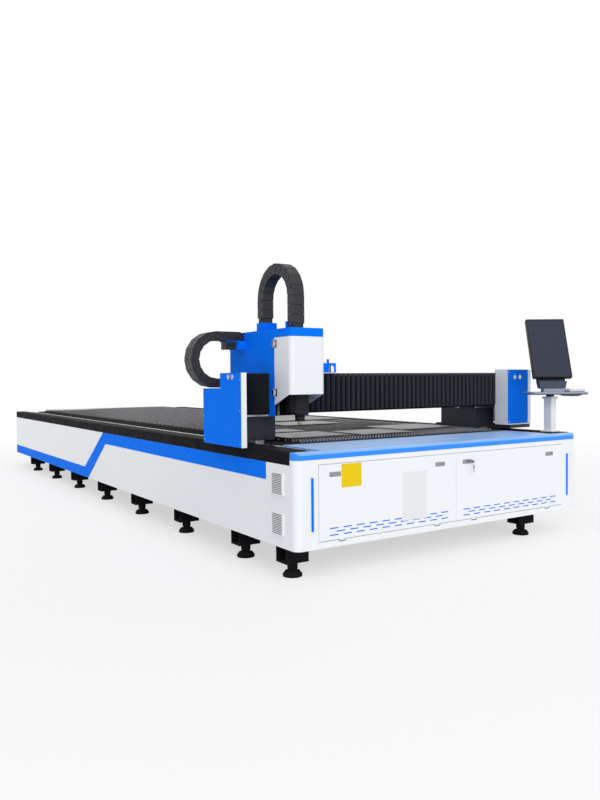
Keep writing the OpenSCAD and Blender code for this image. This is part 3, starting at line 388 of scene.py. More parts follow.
def math_node(tree, operation, a, b):
    """A Math node on sockets or numbers; gives its output."""
    node = tree.nodes.new("ShaderNodeMath")
    node.operation = operation
    put(tree, node.inputs[0], a)
    put(tree, node.inputs[1], b)
    return node.outputs[0]


def mix_colour(tree, factor, a, b):
    """A colour Mix node on sockets or colours; gives its output."""
    node = tree.nodes.new("ShaderNodeMix")
    node.data_type = "RGBA"
    # The node's colours are its inputs 6 and 7 and its output 2
    for index, value in ((0, factor), (6, a), (7, b)):
        put(tree, node.inputs[index], value)
    return node.outputs[2]


def noise(tree, vector, scale, detail=3.0, rough=0.55):
    """A cloudy pattern over a vector."""
    node = add(tree, "ShaderNodeTexNoise", scale=scale, detail=detail, roughness=rough)
    tree.links.new(vector, node.inputs["Vector"])
    return node.outputs["Fac"]


def remap(tree, value, low, high, new_low, new_high):
    """Maps one range of a value to another and keeps to its ends."""
    node = tree.nodes.new("ShaderNodeMapRange")
    for socket, number in zip(node.inputs, (value, low, high, new_low, new_high)):
        put(tree, socket, number)
    return node.outputs[0]


def split(tree, vector):
    """The X, Y and Z of a vector."""
    node = tree.nodes.new("ShaderNodeSeparateXYZ")
    tree.links.new(vector, node.inputs[0])
    return node.outputs


def upward(tree, low, top):
    """How far a face looks up, from none to a top value."""
    normal = tree.nodes.new("ShaderNodeNewGeometry").outputs["Normal"]
    return remap(tree, split(tree, normal)["Z"], low, 0.95, 0, top)


def object_place(tree):
    """The place on the piece, in its own frame."""
    return tree.nodes.new("ShaderNodeTexCoord").outputs["Object"]


def paint_film_group():
    """Powder coat: cloudy tone, uneven gloss and a fine pebbled skin."""
    group, start, end = new_group(
        "Paint Film", {"Color": (0.8, 0.8, 0.8, 1), "Tone": 0.06, "Gloss": 0.3, "Pebble": 420.0},
        ("Color", "Roughness", "Height"))
    place = object_place(group)
    cloud = remap(group, noise(group, place, 1.7, 4.0), 0.3, 0.7, 0, 1)
    smear = remap(group, noise(group, place, 9.0, 5.0, 0.65), 0.25, 0.75, 0.78, 1.25)
    dark = math_node(group, "MULTIPLY", cloud, start["Tone"])
    gloss = math_node(group, "MULTIPLY", start["Gloss"], smear)
    pebble = add(group, "ShaderNodeTexNoise", detail=2.0)
    wire(group, mix_colour(group, dark, start["Color"], (0.02, 0.02, 0.025)), end["Color"],
         gloss, end["Roughness"], place, pebble.inputs["Vector"],
         start["Pebble"], pebble.inputs["Scale"], pebble.outputs["Fac"], end["Height"])
    return group


def dust_group():
    """Fine dust that settles on faces that look up."""
    group, start, end = new_group(
        "Settled Dust", {"Color": (0.1, 0.1, 0.1, 1), "Dust": (0.4, 0.39, 0.37, 1), "Amount": 0.2},
        ("Color",))
    patches = remap(group, noise(group, object_place(group), 14.0, 6.0, 0.7), 0.35, 0.7, 0.15, 1)
    mask = math_node(group, "MULTIPLY", upward(group, 0.2, 1), patches)
    mask = math_node(group, "MULTIPLY", mask, start["Amount"])
    wire(group, mix_colour(group, mask, start["Color"], start["Dust"]), end["Color"])
    return group


def streak_group():
    """Long fine streaks of ground or rolled metal, stretched along one axis."""
    group, start, end = new_group(
        "Metal Streaks", {"Color": (0.5, 0.5, 0.5, 1), "Stretch": (400, 6, 400), "Depth": 0.25, "Gloss": 0.3},
        ("Color", "Roughness", "Height"))
    place = object_place(group)
    scaled = group.nodes.new("ShaderNodeVectorMath")
    scaled.operation = "MULTIPLY"
    wire(group, place, scaled.inputs[0], start["Stretch"], scaled.inputs[1])
    lines = noise(group, scaled.outputs[0], 1.0, 4.0, 0.6)
    stain = remap(group, noise(group, place, 5.0, 5.0, 0.7), 0.35, 0.7, 0, 1)
    dark = math_node(group, "MULTIPLY", stain, start["Depth"])
    gloss = math_node(group, "MULTIPLY", start["Gloss"], remap(group, lines, 0.2, 0.8, 0.7, 1.4))
    wire(group, mix_colour(group, dark, start["Color"], (0.05, 0.045, 0.04)), end["Color"],
         gloss, end["Roughness"], lines, end["Height"])
    return group


def weave_group():
    """Coated cloth: a fine weave under the coating."""
    group, start, end = new_group("Cloth Weave", {"Threads": 700.0}, ("Height",))
    place = object_place(group)
    bands = []
    for direction in ("X", "Z"):
        wave = group.nodes.new("ShaderNodeTexWave")
        wave.bands_direction = direction
        wire(group, place, wave.inputs["Vector"], start["Threads"], wave.inputs["Scale"])
        bands.append(wave.outputs["Fac"])
    wire(group, math_node(group, "ADD", *bands), end["Height"])
    return group


def place_group(tree, kind, **values):
    """Places a node group in a material with its own values; gives its outputs."""
    node = tree.nodes.new("ShaderNodeGroup")
    node.node_tree = groups[kind]
    for name, value in values.items():
        put(tree, node.inputs[name.title()], value)
    return node.outputs


def new_material(name):
    """A material's node tree and its Principled BSDF."""
    material = bpy.data.materials.new(name)
    material.use_nodes = True
    materials[name] = material
    return material.node_tree, material.node_tree.nodes["Principled BSDF"]


def surface(tree, shader, colour, roughness, relief=None, shine=0.5, **values):
    """Wires a material's colour, roughness and relief, and sets its shine and other inputs.

    Relief is a height with its strength and its depth.
    """
    wire(tree, colour, shader.inputs["Base Color"], roughness, shader.inputs["Roughness"])
    shader.inputs["Specular IOR Level"].default_value = shine
    for name, value in values.items():
        shader.inputs[name.replace("_", " ").title()].default_value = value
    if relief:
        bump = add(tree, "ShaderNodeBump", strength=relief[1], distance=relief[2])
        wire(tree, relief[0], bump.inputs["Height"], bump.outputs["Normal"], shader.inputs["Normal"])


def painted(name, colour, tone, gloss, coat=0.0, dust=0.0, pebble=420.0, relief=0.12, shine=0.5):
    """A powder-coated finish."""
    tree, shader = new_material(name)
    film = place_group(tree, "paint", color=colour, tone=tone, gloss=gloss, pebble=pebble)
    settled = place_group(tree, "dust", color=film["Color"], amount=dust)
    surface(tree, shader, settled["Color"], film["Roughness"], (film["Height"], relief, 0.6 * MM), shine,
            coat_weight=coat, coat_roughness=0.12)


def painted_reflection_top(name, colour, pale):
    """A glossy coat with a painted reflection: paler where it looks up, as if it mirrored the bright room."""
    tree, shader = new_material(name)
    film = place_group(tree, "paint", color=colour, tone=0.05, gloss=0.38)
    # Painted reflection: faces that look up are mixed towards the pale colour, with gentle streaks in it
    streaks = remap(tree, noise(tree, object_place(tree), 2.2, 2.0, 0.4), 0.3, 0.7, 0.85, 1.1)
    share = math_node(tree, "MULTIPLY", upward(tree, 0.3, 0.8), streaks)
    surface(tree, shader, mix_colour(tree, share, film["Color"], pale), film["Roughness"],
            (film["Height"], 0.04, 0.6 * MM), shine=0.35)


def metal(name, colour, stretch, depth, gloss, metallic=1.0, shine=0.5):
    """A bare metal finish with streaks."""
    tree, shader = new_material(name)
    streaks = place_group(tree, "streaks", color=colour, stretch=stretch, depth=depth, gloss=gloss)
    surface(tree, shader, streaks["Color"], streaks["Roughness"], (streaks["Height"], 0.15, 0.4 * MM), shine,
            metallic=metallic)


def cloth(name, colour):
    """Coated cloth of the bellows, with painted shade that darkens its folds."""
    tree, shader = new_material(name)
    film = place_group(tree, "paint", color=colour, tone=0.25, gloss=0.52, pebble=60.0)
    settled = place_group(tree, "dust", color=film["Color"], amount=0.12)
    place = split(tree, object_place(tree))
    low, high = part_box("bellows_right")
    ridge, fold = 9 * MM, 24 * MM
    # Painted shade: the colour darkens from each pleat's ridge into its fold, on the front and on the top;
    # lit is the unshaded share
    front = remap(tree, place["Y"], low.y + ridge, low.y + fold, 1, 0)
    roof = remap(tree, place["Z"], high.z - fold, high.z - ridge, 0, 1)
    lit = math_node(tree, "MAXIMUM", front, roof)
    surface(tree, shader, mix_colour(tree, lit, (0.003, 0.003, 0.004), settled["Color"]), film["Roughness"],
            (place_group(tree, "weave")["Height"], 0.2, 0.4 * MM), shine=0.15,
            sheen_weight=0.04, sheen_roughness=0.4)


def scorched_steel(name):
    """Slat steel: rolled surface, pale spatter at the tips and rust in patches."""
    tree, shader = new_material(name)
    streaks = place_group(
        tree, "streaks", color=(0.022, 0.022, 0.024), stretch=(8, 400, 400), depth=0.5, gloss=0.5)
    place = object_place(tree)
    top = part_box("slats")[1].z
    tips = remap(tree, split(tree, place)["Z"], top - 22 * MM, top - 12 * MM, 0, 1)
    specks = remap(tree, noise(tree, place, 60.0, 4.0), 0.35, 0.65, 0.45, 1.0)
    spatter = math_node(tree, "MULTIPLY", tips, specks)
    bright = mix_colour(tree, spatter, streaks["Color"], (0.36, 0.36, 0.375))
    rust = remap(tree, noise(tree, place, 11.0, 6.0, 0.7), 0.56, 0.72, 0, 0.3)
    surface(tree, shader, mix_colour(tree, rust, bright, (0.12, 0.075, 0.05)), streaks["Roughness"],
            (noise(tree, place, 240.0, 4.0), 0.35, MM), metallic=0.4)


def screen(name):
    """Dark display glass with faint smears."""
    tree, shader = new_material(name)
    smear = noise(tree, object_place(tree), 4.0, 2.0, 0.4)
    share = remap(tree, smear, 0.3, 0.7, 0, 0.3)
    surface(tree, shader, mix_colour(tree, share, (0.020, 0.026, 0.048), (0.026, 0.033, 0.058)),
            remap(tree, smear, 0.3, 0.7, 0.24, 0.3), shine=0.12)


def moulded(name, colour, gloss, relief=0.2, tone=0.08, shine=0.5, alpha=1.0):
    """Moulded plastic with a fine grain."""
    tree, shader = new_material(name)
    film = place_group(tree, "paint", color=colour, tone=tone, gloss=gloss, pebble=900.0)
    surface(tree, shader, film["Color"], film["Roughness"], (film["Height"], relief, 0.5 * MM), shine,
            alpha=alpha)


def two_tone(name, upper, lower, height):
    """Coated piece with one colour above a height and another below it."""
    tree, shader = new_material(name)
    level = split(tree, object_place(tree))["Z"]
    above = remap(tree, level, height - 0.5 * MM, height + 0.5 * MM, 0, 1)
    film = place_group(tree, "paint", color=upper, tone=0.05, gloss=0.45)
    surface(tree, shader, mix_colour(tree, above, lower, film["Color"]), film["Roughness"],
            (film["Height"], 0.1, 0.5 * MM), shine=0.25)


def make_finishes():
    """Builds the node groups and every material."""
    colours = bpy.context.scene.cutter_colours
    groups.update(paint=paint_film_group(), dust=dust_group(), streaks=streak_group(), weave=weave_group())
    painted("white_paint", colours.white, 0.012, 0.34, coat=0.2)
    painted("blue_paint", colours.blue, 0.06, 0.55, shine=0.03)
    # The rim's paler top is a painted reflection of the room
    painted_reflection_top("rim_blue", colours.rim, (0.42, 0.64, 0.96))
    painted("black_paint", colours.black, 0.2, 0.6, dust=0.03, pebble=260.0, relief=0.05, shine=0.03)
    painted("saddle_slate", (0.028, 0.034, 0.05), 0.2, 0.42, dust=0.05, pebble=260.0, relief=0.2, shine=0.3)
    painted("motor_black", (0.009, 0.009, 0.011), 0.2, 0.5, dust=0.03, shine=0.1)
    painted("plate_yellow", colours.plate, 0.06, 0.45, shine=0.15)
    metal("machined_steel", (0.56, 0.57, 0.59), (300, 6, 300), 0.25, 0.27)
    metal("sheet_steel", (0.29, 0.295, 0.31), (5, 160, 160), 0.6, 0.45)
    metal("chrome", (0.36, 0.37, 0.39), (90, 90, 90), 0.12, 0.3)
    metal("brass", (0.75, 0.5, 0.18), (90, 90, 700), 0.2, 0.24)
    metal("head_graphite", (0.013, 0.0135, 0.016), (120, 120, 500), 0.2, 0.45, metallic=0.1, shine=0.15)
    scorched_steel("slat_steel")
    cloth("bellows_cloth", colours.cloth)
    moulded("chain_plastic", colours.chain, 0.45, shine=0.35)
    two_tone("bracket_grey", (0.055, 0.066, 0.095), CONSOLE_GREY, BRACKET_EDGE)
    moulded("monitor_black", (0.008, 0.008, 0.01), 0.35, relief=0.08, shine=0.15)
    moulded("control_white", (0.72, 0.74, 0.77), 0.32, relief=0.08)
    moulded("button_orange", (0.85, 0.33, 0.03), 0.35, relief=0.05)
    moulded("clear_sleeve", (0.90, 0.91, 0.93), 0.5, relief=0.05, tone=0.0, shine=0.2, alpha=0.75)
    screen("screen_glass")
    two_tone("shelf_grey", CONSOLE_GREY, (0.03, 0.034, 0.046), SHELF_EDGE)


def finish_solid(node):
    """Gives a solid its procedural material in place of the plain one."""
    chosen = materials[slot_of(node)]
    solid = frame["nodes"][node]
    if not solid.material_slots:
        solid.data.materials.append(chosen)
    for place in solid.material_slots:
        place.material = chosen


def softened(node, width, segments=2, material=None):
    """A copy of a solid with its sharp edges rounded, which stands for that solid."""
    piece = bpy.data.objects.new(node + "_skin", frame["nodes"][node].data.copy())
    bpy.context.collection.objects.link(piece)
    edit(piece)
    bpy.ops.mesh.select_all(action="SELECT")
    bpy.ops.mesh.remove_doubles(threshold=0.01 * MM)
    bpy.ops.mesh.dissolve_limited(angle_limit=math.radians(0.5))
    close_edit()
    bpy.ops.mesh.customdata_custom_splitnormals_clear()
    round_edges(piece, width, segments)
    return dress(piece, body_of(node), slot_of(node), [node], material)


class CutterOperator(bpy.types.Operator):
    """Shared settings of the operators"""

    bl_options = {"REGISTER", "UNDO"}


class CUTTER_OT_stage(CutterOperator):
    """Adds the camera, the pale floor and the soft light"""

    bl_idname = "cutter.stage"
    bl_label = "Stage"

    sun_from = Vector((-0.31, -0.69, 0.65))
    sun_spread = math.radians(60)
    fade_start, fade_end = 4.5, 9.0

    def execute(self, context):
        scene = context.scene
        settings = scene.cutter_stage
        scene.view_settings.view_transform = "Standard"
        self.camera(scene)
        self.world(scene, settings.ambient)
        self.floor(settings.floor_size)
        sun = bpy.data.lights.new("key", "SUN")
        sun.energy = settings.sun
        sun.angle = self.sun_spread
        lamp = bpy.data.objects.new("key", sun)
        lamp.rotation_euler = self.sun_from.to_track_quat("Z", "Y").to_euler()
        scene.collection.objects.link(lamp)
        return {"FINISHED"}

    def camera(self, scene):
        """Camera at the photograph's place and angle."""
        turn = spin(-CAMERA_YAW, "Z") @ spin(90 + CAMERA_PITCH, "X") @ spin(CAMERA_ROLL, "Z")
        lens = bpy.data.cameras.new("camera")
        lens.sensor_width = SENSOR
        lens.lens = FOCAL_PIXELS * SENSOR / IMAGE_HEIGHT
        lens.clip_end = 400
        camera = bpy.data.objects.new("camera", lens)
        camera.matrix_world = Matrix.Translation(CAMERA_PLACE) @ turn
        scene.collection.objects.link(camera)
        scene.camera = camera

    def world(self, scene, ambient):
        """Even light from all round; white where the camera or a reflection sees it."""
        world = bpy.data.worlds.new("studio")
        world.use_nodes = True
        scene.world = world
        tree = world.node_tree
        tree.nodes.clear()
        path = tree.nodes.new("ShaderNodeLightPath").outputs
        seen = math_node(tree, "MAXIMUM", path["Is Camera Ray"], path["Is Glossy Ray"])
        seen = math_node(tree, "MAXIMUM", seen, path["Is Transmission Ray"])
        soft, white = (add(tree, "ShaderNodeBackground", color=(1, 1, 1, 1), strength=strength)
                       for strength in (ambient, 1.0))
        mix = tree.nodes.new("ShaderNodeMixShader")
        end = tree.nodes.new("ShaderNodeOutputWorld")
        wire(tree, seen, mix.inputs[0], soft.outputs[0], mix.inputs[1], white.outputs[0], mix.inputs[2],
             mix.outputs[0], end.inputs["Surface"])

    def floor(self, size):
        """Pale floor that keeps the machine's shadow and turns white far away."""
        deselect()
        bpy.ops.mesh.primitive_plane_add(size=size, location=(0, 0, -0.5 * MM))
        plane = new_piece("floor")
        tree, shader = new_material("floor_pale")
        shader.inputs["Base Color"].default_value = (0.9, 0.9, 0.9, 1)
        shader.inputs["Roughness"].default_value = 0.6
        path = tree.nodes.new("ShaderNodeLightPath").outputs
        seen = math_node(tree, "MAXIMUM", path["Is Camera Ray"], path["Is Glossy Ray"])
        far = tree.nodes.new("ShaderNodeVectorMath")
        far.operation = "LENGTH"
        wire(tree, object_place(tree), far.inputs[0])
        share = remap(tree, far.outputs["Value"], self.fade_start, self.fade_end, 0.6, 1.0)
        glow = add(tree, "ShaderNodeEmission", strength=1.0)
        mix = tree.nodes.new("ShaderNodeMixShader")
        wire(tree, math_node(tree, "MULTIPLY", seen, share), mix.inputs[0], shader.outputs[0], mix.inputs[1],
             glow.outputs[0], mix.inputs[2], mix.outputs[0], tree.nodes["Material Output"].inputs["Surface"])
        plane.data.materials.append(materials["floor_pale"])


class CUTTER_OT_finishes(CutterOperator):
    """Gives every solid its finish"""

    bl_idname = "cutter.finishes"
    bl_label = "Finishes"

    def execute(self, context):
        make_finishes()
        for node in frame["nodes"]:
            finish_solid(node)
        return {"FINISHED"}


class CUTTER_OT_housings(CutterOperator):
    """Rounds the edges of the panels, covers and castings, and puts dark sheets behind the vents as painted
    shade
    """

    bl_idname = "cutter.housings"
    bl_label = "Housings"

    edge_radii = {
        "front_cabinet": 2.5, "front_rim": 3, "door_left": 1.5, "door_right": 1.5, "vent_grilles": 1.2,
        "end_cover_left": 3, "end_cover_right": 3, "end_panel_right": 0.9, "head_housing": 3,
        "head_cover": 1.2, "console_shelf": 5, "console_post": 2.5, "monitor": 2.5, "monitor_bracket": 4,
        "saddles": 3, "rail_beams": 3, "gantry_beam": 4, "y_motors": 3, "x_motor": 3, "z_motor": 2,
        "valve_bracket": 1.2, "latch_housings_left": 0.7, "latch_housings_right": 0.7,
        "laser_head": 2.5, "levelling_feet": 2,
    }
    own_finish = {"front_rim": "rim_blue", "console_shelf": "shelf_grey", "saddles": "saddle_slate"}
    # Place, size and depths of the dark sheets that paint the shade behind the vents
    gauze_inset, gauze_half = 73 * MM, 66 * MM
    shade_depths = (6 * MM, 9 * MM)

    def execute(self, context):
        for node, radius in self.edge_radii.items():
            softened(node, radius * MM, material=self.own_finish.get(node))
        self.vents()
        return {"FINISHED"}

    def vents(self):
        """Dark sheets behind the louvres: painted shade for the vents' dark insides."""
        low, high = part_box("vent_grilles")
        middle, half = (low.y + high.y) / 2, self.gauze_half
        gauze = []
        for side in (-1, 1):
            start, end = sorted(side * (high.x - depth) for depth in self.shade_depths)
            for z in (low.z + self.gauze_inset, high.z - self.gauze_inset):
                gauze.append(block("vent_gauze", (start, middle - half, z - half),
                                   (end, middle + half, z + half)))
        dress(join("vent_gauze", gauze), "bed", "black_paint", material="motor_black")


class CUTTER_OT_slats(CutterOperator):
    """Cuts the slats' fine sawtooth and adds the plain tongues at their ends"""

    bl_idname = "cutter.slats"
    bl_label = "Slats"

    slat_thickness = 4 * MM
    slat_pitch = 100 * MM
    tip_share = 0.17
    tongue = 105 * MM

    def execute(self, context):
        sizes = context.scene.cutter_sizes
        low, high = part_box("slats")
        pitch = sizes.tooth_pitch
        teeth = int((high.x - low.x) / pitch)
        rows = round((high.y - low.y - self.slat_thickness) / self.slat_pitch) + 1
        start = -teeth * pitch / 2
        root = high.z - sizes.tooth_height
        deselect()
        bpy.ops.mesh.primitive_plane_add(
            size=1, location=(start + pitch / 2, low.y + self.slat_thickness / 2, (low.z + root) / 2),
            rotation=(math.radians(90), 0, 0))
        bpy.context.object.scale = (pitch, root - low.z, 1)
        piece = new_piece("slats_fine")
        edit(piece, "VERT")
        pick_points(piece, lambda p: p.z > root - MM)
        bpy.ops.mesh.extrude_region_move(TRANSFORM_OT_translate={"value": (0, 0, sizes.tooth_height)})
        pick_points(piece, lambda p: p.z > root + MM)
        bpy.ops.transform.resize(value=(self.tip_share, 1, 1))
        close_edit()
        repeat(piece, teeth, (pitch, 0, 0), use_merge_vertices=True, merge_threshold=0.1 * MM)
        edit(piece, "VERT")
        for end, way in ((start, -1), (start + teeth * pitch, 1)):
            pick_points(piece, lambda p: abs(p.x - end) < MM and p.z < root + MM)
            bpy.ops.mesh.extrude_region_move(TRANSFORM_OT_translate={"value": (way * self.tongue, 0, 0)})
        close_edit()
        apply_modifier(piece, "SOLIDIFY", thickness=self.slat_thickness, offset=0)
        repeat(piece, rows, (0, self.slat_pitch, 0))
        dress(piece, "bed", "slat_steel", ["slats"])
        return {"FINISHED"}


class CUTTER_OT_bellows(CutterOperator):
    """Folds the pleated cloth on both sides of the carriage"""

    bl_idname = "cutter.bellows"
    bl_label = "Bellows"

    fold_depth = 30 * MM
    skin = 1.5 * MM
    corner = 4 * MM

    def execute(self, context):
        left_low, left_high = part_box("bellows_left")
        low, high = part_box("bellows_right")
        span = high.x - low.x
        pleats = round(span / context.scene.cutter_sizes.pleat_pitch)
        right = self.pleated("bellows_right_cloth", low, high, pleats)
        dress(right, "gantry", "bellows_cloth", ["bellows_right"])
        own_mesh(right)
        left = self.pleated("bellows_left_cloth", left_low, left_high, pleats)
        dress(left, None, "bellows_cloth", ["bellows_left"])
        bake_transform(left)
        return {"FINISHED"}

    def pleated(self, name, low, high, pleats):
        """A sheet that runs up the front and back over the top, pleated along X."""
        columns = 2 * pleats
        deselect()
        bpy.ops.mesh.primitive_grid_add(x_subdivisions=columns, y_subdivisions=3, size=1)
        piece = new_piece(name)
        corner, bend = self.corner, self.corner + MM
        rows = [(low.y, low.z), (low.y, high.z - corner), (low.y + corner, high.z), (high.y, high.z)]
        edit(piece, "VERT")
        for index, (y, z) in enumerate(rows):
            level = -0.5 + index / 3
            pick_points(piece, lambda p: abs(p.y - level) < 0.01 and abs(p.z) < 1e-6)
            move((0, y - level, z))
        bpy.ops.mesh.select_all(action="SELECT")
        bpy.ops.transform.resize(value=(high.x - low.x, 1, 1), center_override=(0, 0, 0))
        move(((low.x + high.x) / 2, 0, 0))
        step = (high.x - low.x) / columns

        def valley(point):
            return round((point.x - low.x) / step) % 2 == 1

        pick_points(piece, lambda p: valley(p) and p.y < low.y + bend)
        move((0, self.fold_depth, 0))
        pick_points(piece, lambda p: valley(p) and p.z > high.z - bend)
        move((0, 0, -self.fold_depth))
        close_edit()
        apply_modifier(piece, "SOLIDIFY", thickness=self.skin, offset=-1)
        return piece


class CUTTER_OT_chains(CutterOperator):
    """Builds the drag chains link by link"""

    bl_idname = "cutter.chains"
    bl_label = "Drag chains"

    cross_height = 66 * MM
    cross_loop_links = 8
    cross_top_links = 3
    head_height = 75 * MM
    head_arch_links = 10
    head_front_links = 3
    head_inset, cross_inset = 4 * MM, 4.5 * MM
    hub_depth, hub_rim, hub_recess = 6 * MM, 0.16, 0.9 * MM
    foot_rise, foot_half = 14 * MM, 28 * MM
    neck_share = 0.42
    blend_share = 0.6
    # Axis, rim and depth of the recessed panels on a link's sides
    panels = ((1, 7 * MM, 1.6 * MM), (2, 5 * MM, 1.0 * MM))
    # Ends, width and height of a link's tongue as shares of the link's
    tongue_start, tongue_end, tongue_width, tongue_height = 0.6, 1.15, 0.86, 0.78
    # Corners of the cable clamp from the upper run's end, and how far in its screws stand
    clamp_low, clamp_high = Vector((-150, -50, 0)) * MM, Vector((-64, 30, 56)) * MM
    screw_x, screw_y = 16 * MM, 14 * MM

    def execute(self, context):
        self.joint = context.scene.cutter_sizes.joint_gap
        self.cross_chain()
        self.head_chain()
        return {"FINISHED"}

    def link(self, name, pitch, width, height, bend=None, hub_share=0.5):
        """One closed link along +X from its first pivot, with a tongue that reaches into the next link.

        Bend is the radius that the link runs round, with the outside below, or None on a straight run.
        Hub share is the hubs' radius by half the height, smaller where the hubs of two runs would meet.
        """
        half, rise = width / 2, height / 2
        shell = block(name, (0, -half, -rise), (pitch, half, rise))
        edit(shell, "VERT")
        for side in (-1, 1):
            flare = -side * pitch * rise / bend if bend else 0
            for end in (0, 1):
                pick_points(shell, lambda p: p.z * side > 0 and abs(p.x - end * pitch) < pitch * 0.4)
                move(((1 - 2 * end) * (self.joint - flare) / 2, 0, 0))
        close_edit()
        for axis, rim, depth in self.panels:
            for side in (-1, 1):
                inset_faces(shell, lambda c, n: n[axis] * side > FACING and abs(c.x - pitch / 2) < 2 * MM,
                            (rim, -depth))
        round_edges(shell, 1.2 * MM, 1)
        across, tall = half * self.tongue_width, rise * self.tongue_height
        tongue = block(name, (pitch * self.tongue_start, -across, -tall),
                       (pitch * self.tongue_end, across, tall))
        parts = [shell, tongue]
        for side in (-1, 1):
            hub = drum(name, (0, side * half, 0), rise * hub_share, self.hub_depth * hub_share, Y_AXIS, 20)
            inset_faces(hub, lambda c, n: n.y * side > FACING, (rise * self.hub_rim, -self.hub_recess))
            parts.append(smooth(hub))
        return join(name, parts)

    def lay(self, name, model, places):
        """Copies of a link at their places, joined into one piece."""
        piece = join(name, [copy_piece(model, name, matrix) for matrix in places])
        bpy.data.objects.remove(model)
        return piece

    def straight(self, matrix, count, pitch):
        """Links on a straight run along X."""
        return [matrix @ Matrix.Translation((i * pitch, 0, 0)) for i in range(count)]

    def half_round(self, matrix, count, radius, pitch):
        """Links on a half circle in X and Z, from below round -X to above."""
        step = math.pi / count
        places = []
        for i in range(count):
            turn = Matrix.Rotation(i * step, 4, "Y") @ Matrix.Translation((0, 0, -radius))
            turn = turn @ Matrix.Rotation(step / 2, 4, "Y")
            places.append(matrix @ turn @ Matrix.Translation((-pitch, 0, 0)))
        return places

    def cross_chain(self):
        """Chain of the carriage: lower run, loop, upper run and the clamp under its end."""
        low_run, low_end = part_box("x_chain_lower")
        top_run, top_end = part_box("x_chain_upper")
        loop_low, loop_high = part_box("x_chain_loop")
        width, height = loop_high.y - loop_low.y, self.cross_height
        rise = height / 2
        pivot_x = low_run.x + rise - self.cross_inset
        low_z, top_z = low_run.z + rise, top_end.z - rise
        radius = (top_z - low_z) / 2
        pitch = 2 * radius * math.sin(math.pi / 2 / self.cross_loop_links)
        middle = (loop_low.y + loop_high.y) / 2
        low_count = round((low_end.x - pivot_x) / pitch - 0.5)
        low = self.lay("cross_chain_low", self.link("cross_link", pitch, width, height),
                       self.straight(Matrix.Translation((pivot_x, middle, low_z)), low_count, pitch))
        foot = soft_block("cross_chain_foot", (pivot_x + low_count * pitch, low_run.y + 4 * MM, low_run.z),
                          (low_end.x, low_end.y - 4 * MM, low_run.z + 6 * MM), 1.5 * MM)
        low = join("cross_chain_low", [low, foot])
        dress(low, "gantry", "chain_plastic", ["x_chain_lower"])
        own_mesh(low)
        loop = self.lay("cross_chain_loop", self.link("cross_bend", pitch, width, height, radius),
                        self.half_round(Matrix.Translation((pivot_x, middle, low_z + radius)),
                                        self.cross_loop_links, radius, pitch))
        dress(loop, "x_loop", "chain_plastic", ["x_chain_loop"])
        top = self.lay("cross_chain_top", self.link("cross_link", pitch, width, height, hub_share=0.3),
                       self.straight(Matrix.Translation((pivot_x, middle, top_z)),
                                     self.cross_top_links, pitch))
        last = pivot_x + self.cross_top_links * pitch
        across, tall = width / 2 - 6 * MM, rise - 6 * MM
        fork = soft_block("cross_fork", (last - 4 * MM, middle - across, top_z - tall),
                          (top_end.x, middle + across, top_z + tall), 2 * MM)
        top = join("cross_chain_top", [top, fork])
        dress(top, None, "chain_plastic", ["x_chain_upper"])
        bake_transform(top)
        corner = Vector((top_end.x, middle, top_run.z))
        self.clamp(corner + self.clamp_low, corner + self.clamp_high)

    def clamp(self, low, high):
        """Two clamp bars with screws that hold the cables under the shelf."""
        rise = (high.z - low.z) / 2
        parts = [soft_block("cable_clamp", (low.x, low.y, level), (high.x, high.y, level + rise - MM), 3 * MM)
                 for level in (low.z, low.z + rise + MM)]
        inner = Vector((6, 6, 6)) * MM
        parts.append(block("cable_clamp", low + inner, high - inner))
        for y in (low.y + self.screw_y, high.y - self.screw_y):
            for x in (low.x + self.screw_x, high.x - self.screw_x):
                parts.append(screw("cable_clamp", (x, y, low.z), -Z_AXIS, 6 * MM))
        dress(join("cable_clamp", parts), "carriage", "chain_plastic")

    def head_chain(self):
        """Arch over the head, from the housing to the sliding plate."""
        low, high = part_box("z_chain_arch")
        width, height = high.x - low.x, self.head_height
        radius = (high.y - low.y - height) / 2
        pitch = 2 * radius * math.sin(math.pi / 2 / self.head_arch_links)
        middle, arc_y = (low.x + high.x) / 2, (low.y + high.y) / 2
        pivot_rise = height / 2 - self.head_inset
        arc_z = low.z + pivot_rise + self.head_front_links * pitch
        turned = spin(90, "Z")
        flange = (2 * MM, self.foot_half, 0, self.foot_rise)
        neck = (5 * MM, height * self.neck_share, 2 * MM, pivot_rise + 2 * MM)
        places, parts = [], []
        for y, base, count in ((arc_y - radius, low.z, self.head_front_links),
                               (arc_y + radius, low.z + pitch, self.head_front_links - 1)):
            start = Matrix.Translation((middle, y, base + pivot_rise))
            places += self.straight(start @ turned @ spin(-90, "Y"), count, pitch)
            for inset, half, bottom, top in (flange, neck):
                parts.append(soft_block("foot", (low.x + inset, y - half, base + bottom),
                                        (high.x - inset, y + half, base + top), 2 * MM))
        crown = Matrix.Translation((middle, arc_y, arc_z)) @ turned @ spin(90, "Y")
        legs = self.lay("head_chain", self.link("head_link", pitch, width, height), places)
        arch = self.lay("head_chain_crown", self.link("head_bend", pitch, width, height, radius),
                        self.half_round(crown, self.head_arch_links, radius, pitch))
        arch = join("head_chain", [legs, arch] + parts)
        dress(arch, None, "chain_plastic", ["z_chain_arch"])
        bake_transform(arch)


